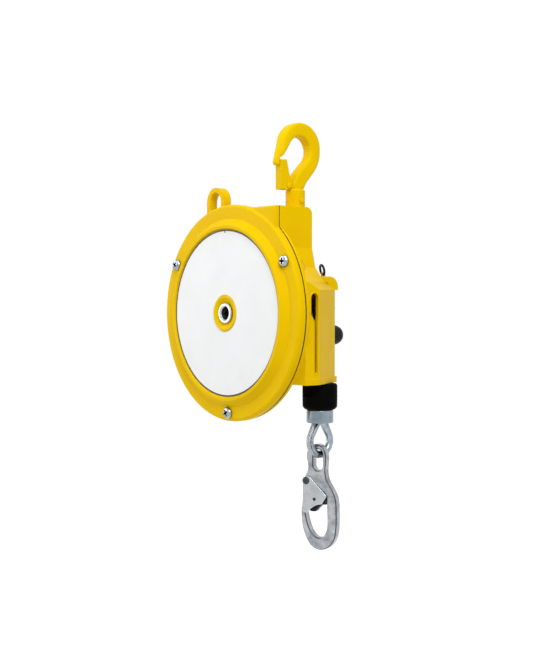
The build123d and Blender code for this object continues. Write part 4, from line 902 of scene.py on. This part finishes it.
eye_outside = [(-10.9, -121.0), (-9.6, -115.2), (-6.2, -111.4), (-1.8, -110.1), (2.7, -111.4), (6.1, -115.1),
               (7.4, -120.5), (7.3, -126)]
spine_outside = [(6.8, -131), (7.0, -135), (8.0, -139.5), (9.9, -143), (14, -149.5), (16.2, -154.3),
                 (17.2, -160), (17.4, -168), (17.4, -177), (16.2, -187), (13.4, -193), (9.2, -197)]
bowl_outside = [(4.5, -199.0), (0, -199.2), (-4.6, -197.6), (-8.6, -194.0), (-12.0, -188), (-14.3, -181.5),
                (-15.3, -175), (-15.7, -168)]
nose = [(-15.5, -164.6), (-14.1, -163.1), (-12.5, -164.5)]
bowl_inside = [(-11.7, -170), (-9.9, -177), (-7.2, -183.4), (-3.6, -187.5), (0.9, -189.1), (5.1, -187.5),
               (7.8, -183), (8.8, -177), (8.6, -166), (8.3, -156), (6.6, -151.4)]
gate_root = [(2.0, -149.0), (-8.2, -144.9), (-11.6, -144.1), (-13.7, -141.7), (-12.7, -138.4), (-9.6, -131.5),
             (-9.8, -126)]
hook_line = smooth_line(eye_outside + spine_outside + bowl_outside + nose + bowl_inside + gate_root)
eye_hole = arc_points((-0.1, -118.9), 4.5, 0, 180, 20) + arc_points((-0.1, -127.9), 4.5, 180, 360, 20)
forging = plate_with_holes("snap_hook_forging", [hook_line, eye_hole], half=4.0, round_edge=1.3)
fitted("snap_hook_forging", forging, "snap_hook", forged_zinc, ["snap_hook"])
dark_steel = metal("dark_steel", (0.035, 0.038, 0.042), (0.09, 0.095, 0.10), (0.25, 0.4),
                   cells=260, depth=0.00001, edge=0.0002)
dress(["lever_pin"], dark_steel)
gate_rivet = placed(rivet("gate_rivet", shank=2.4, half=5.85, head=3.3, rise=0.9), in_hook(-10.3, -141.1),
                    hook_front)
fitted("gate_rivet", gate_rivet, "snap_hook", dark_steel, ["gate_pin"])


# The picture: the camera stands where the photographer stood, in a soft white studio.
# One large soft box at the left gives the front faces their sheen; two others light the side and the top.
# The floor lies below the rope end with all its rope out, so that no pose goes through it.

camera_data = bpy.data.cameras.new("picture_camera")
camera = bpy.data.objects.new("picture_camera", camera_data)
stage_things.link(camera)
bpy.context.scene.camera = camera
camera_data.sensor_width = 36.0
camera_data.lens = 66.70
camera_data.clip_start = 0.05
camera_data.clip_end = 20.0
azimuth, elevation = math.radians(50.217), math.radians(1.497)
backward = Vector((math.sin(azimuth) * math.cos(elevation), -math.cos(azimuth) * math.cos(elevation),
                   math.sin(elevation)))
camera.location = (0.7877, -0.6888, -0.1381)
camera.rotation_mode = "QUATERNION"
camera.rotation_quaternion = (-backward).to_track_quat("-Z", "Y")


MIDDLE = Vector((-0.03, 0.0, -0.16))


def soft_box(name, place, size, power):
    """A large soft lamp that looks at the middle of the object."""
    data = bpy.data.lights.new(name, "AREA")
    data.shape = "RECTANGLE"
    data.size, data.size_y = size
    data.energy = power
    lamp = bpy.data.objects.new(name, data)
    lamp.location = place
    lamp.rotation_mode = "QUATERNION"
    lamp.rotation_quaternion = (MIDDLE - Vector(place)).to_track_quat("-Z", "Y")
    stage_things.link(lamp)


soft_box("left_box", (-1.35, -1.05, 0.35), (1.4, 1.4), 13)
soft_box("right_box", (1.0, -0.55, 0.75), (0.9, 0.9), 13)
soft_box("top_box", (0.1, -0.3, 1.5), (1.2, 1.2), 9)


def white_seen(tree, low, high):
    """A level that is high for what the camera, gloss and glass see, and low for what lights the object."""
    rays = tree.nodes.new("ShaderNodeLightPath")
    seen = sum_of(tree, "MAXIMUM", rays.outputs["Is Camera Ray"], rays.outputs["Is Glossy Ray"])
    seen = sum_of(tree, "MAXIMUM", seen, rays.outputs["Is Transmission Ray"])
    return spread(tree, seen, low, high, 0.0, 1.0)


world = bpy.data.worlds.new("white_room")
bpy.context.scene.world = world
world.use_nodes = True
room = world.node_tree
background = room.nodes["Background"]
background.inputs["Color"].default_value = (1, 1, 1, 1)
room.links.new(white_seen(room, 0.34, 1.0), background.inputs["Strength"])

FLOOR_Z, FLOOR_HALF = -1.76, 9
floor_mesh = bpy.data.meshes.new("studio_floor")
floor_corners = [(FLOOR_HALF * x, FLOOR_HALF * y, FLOOR_Z) for x, y in ((-1, -1), (1, -1), (1, 1), (-1, 1))]
floor_mesh.from_pydata(floor_corners, [], [(0, 1, 2, 3)])
floor = bpy.data.objects.new("studio_floor", floor_mesh)
stage_things.link(floor)
paper, paper_tree, paper_shader, paper_place = new_finish("studio_paper")
paper_tone = tint(paper_tree, grain(paper_tree, paper_place, 30), (0.88, 0.88, 0.88), (0.90, 0.90, 0.90))
paper_tree.links.new(paper_tone, paper_shader.inputs["Base Color"])
paper_shader.inputs["Roughness"].default_value = 0.9
lift = paper_tree.nodes.new("ShaderNodeEmission")
paper_tree.links.new(white_seen(paper_tree, 0.3, 0.8), lift.inputs["Strength"])
both = paper_tree.nodes.new("ShaderNodeAddShader")
paper_tree.links.new(paper_shader.outputs["BSDF"], both.inputs[0])
paper_tree.links.new(lift.outputs["Emission"], both.inputs[1])
paper_tree.links.new(both.outputs["Shader"], paper_tree.nodes["Material Output"].inputs["Surface"])
floor_mesh.materials.append(paper)

bpy.context.scene.view_settings.view_transform = "Standard"
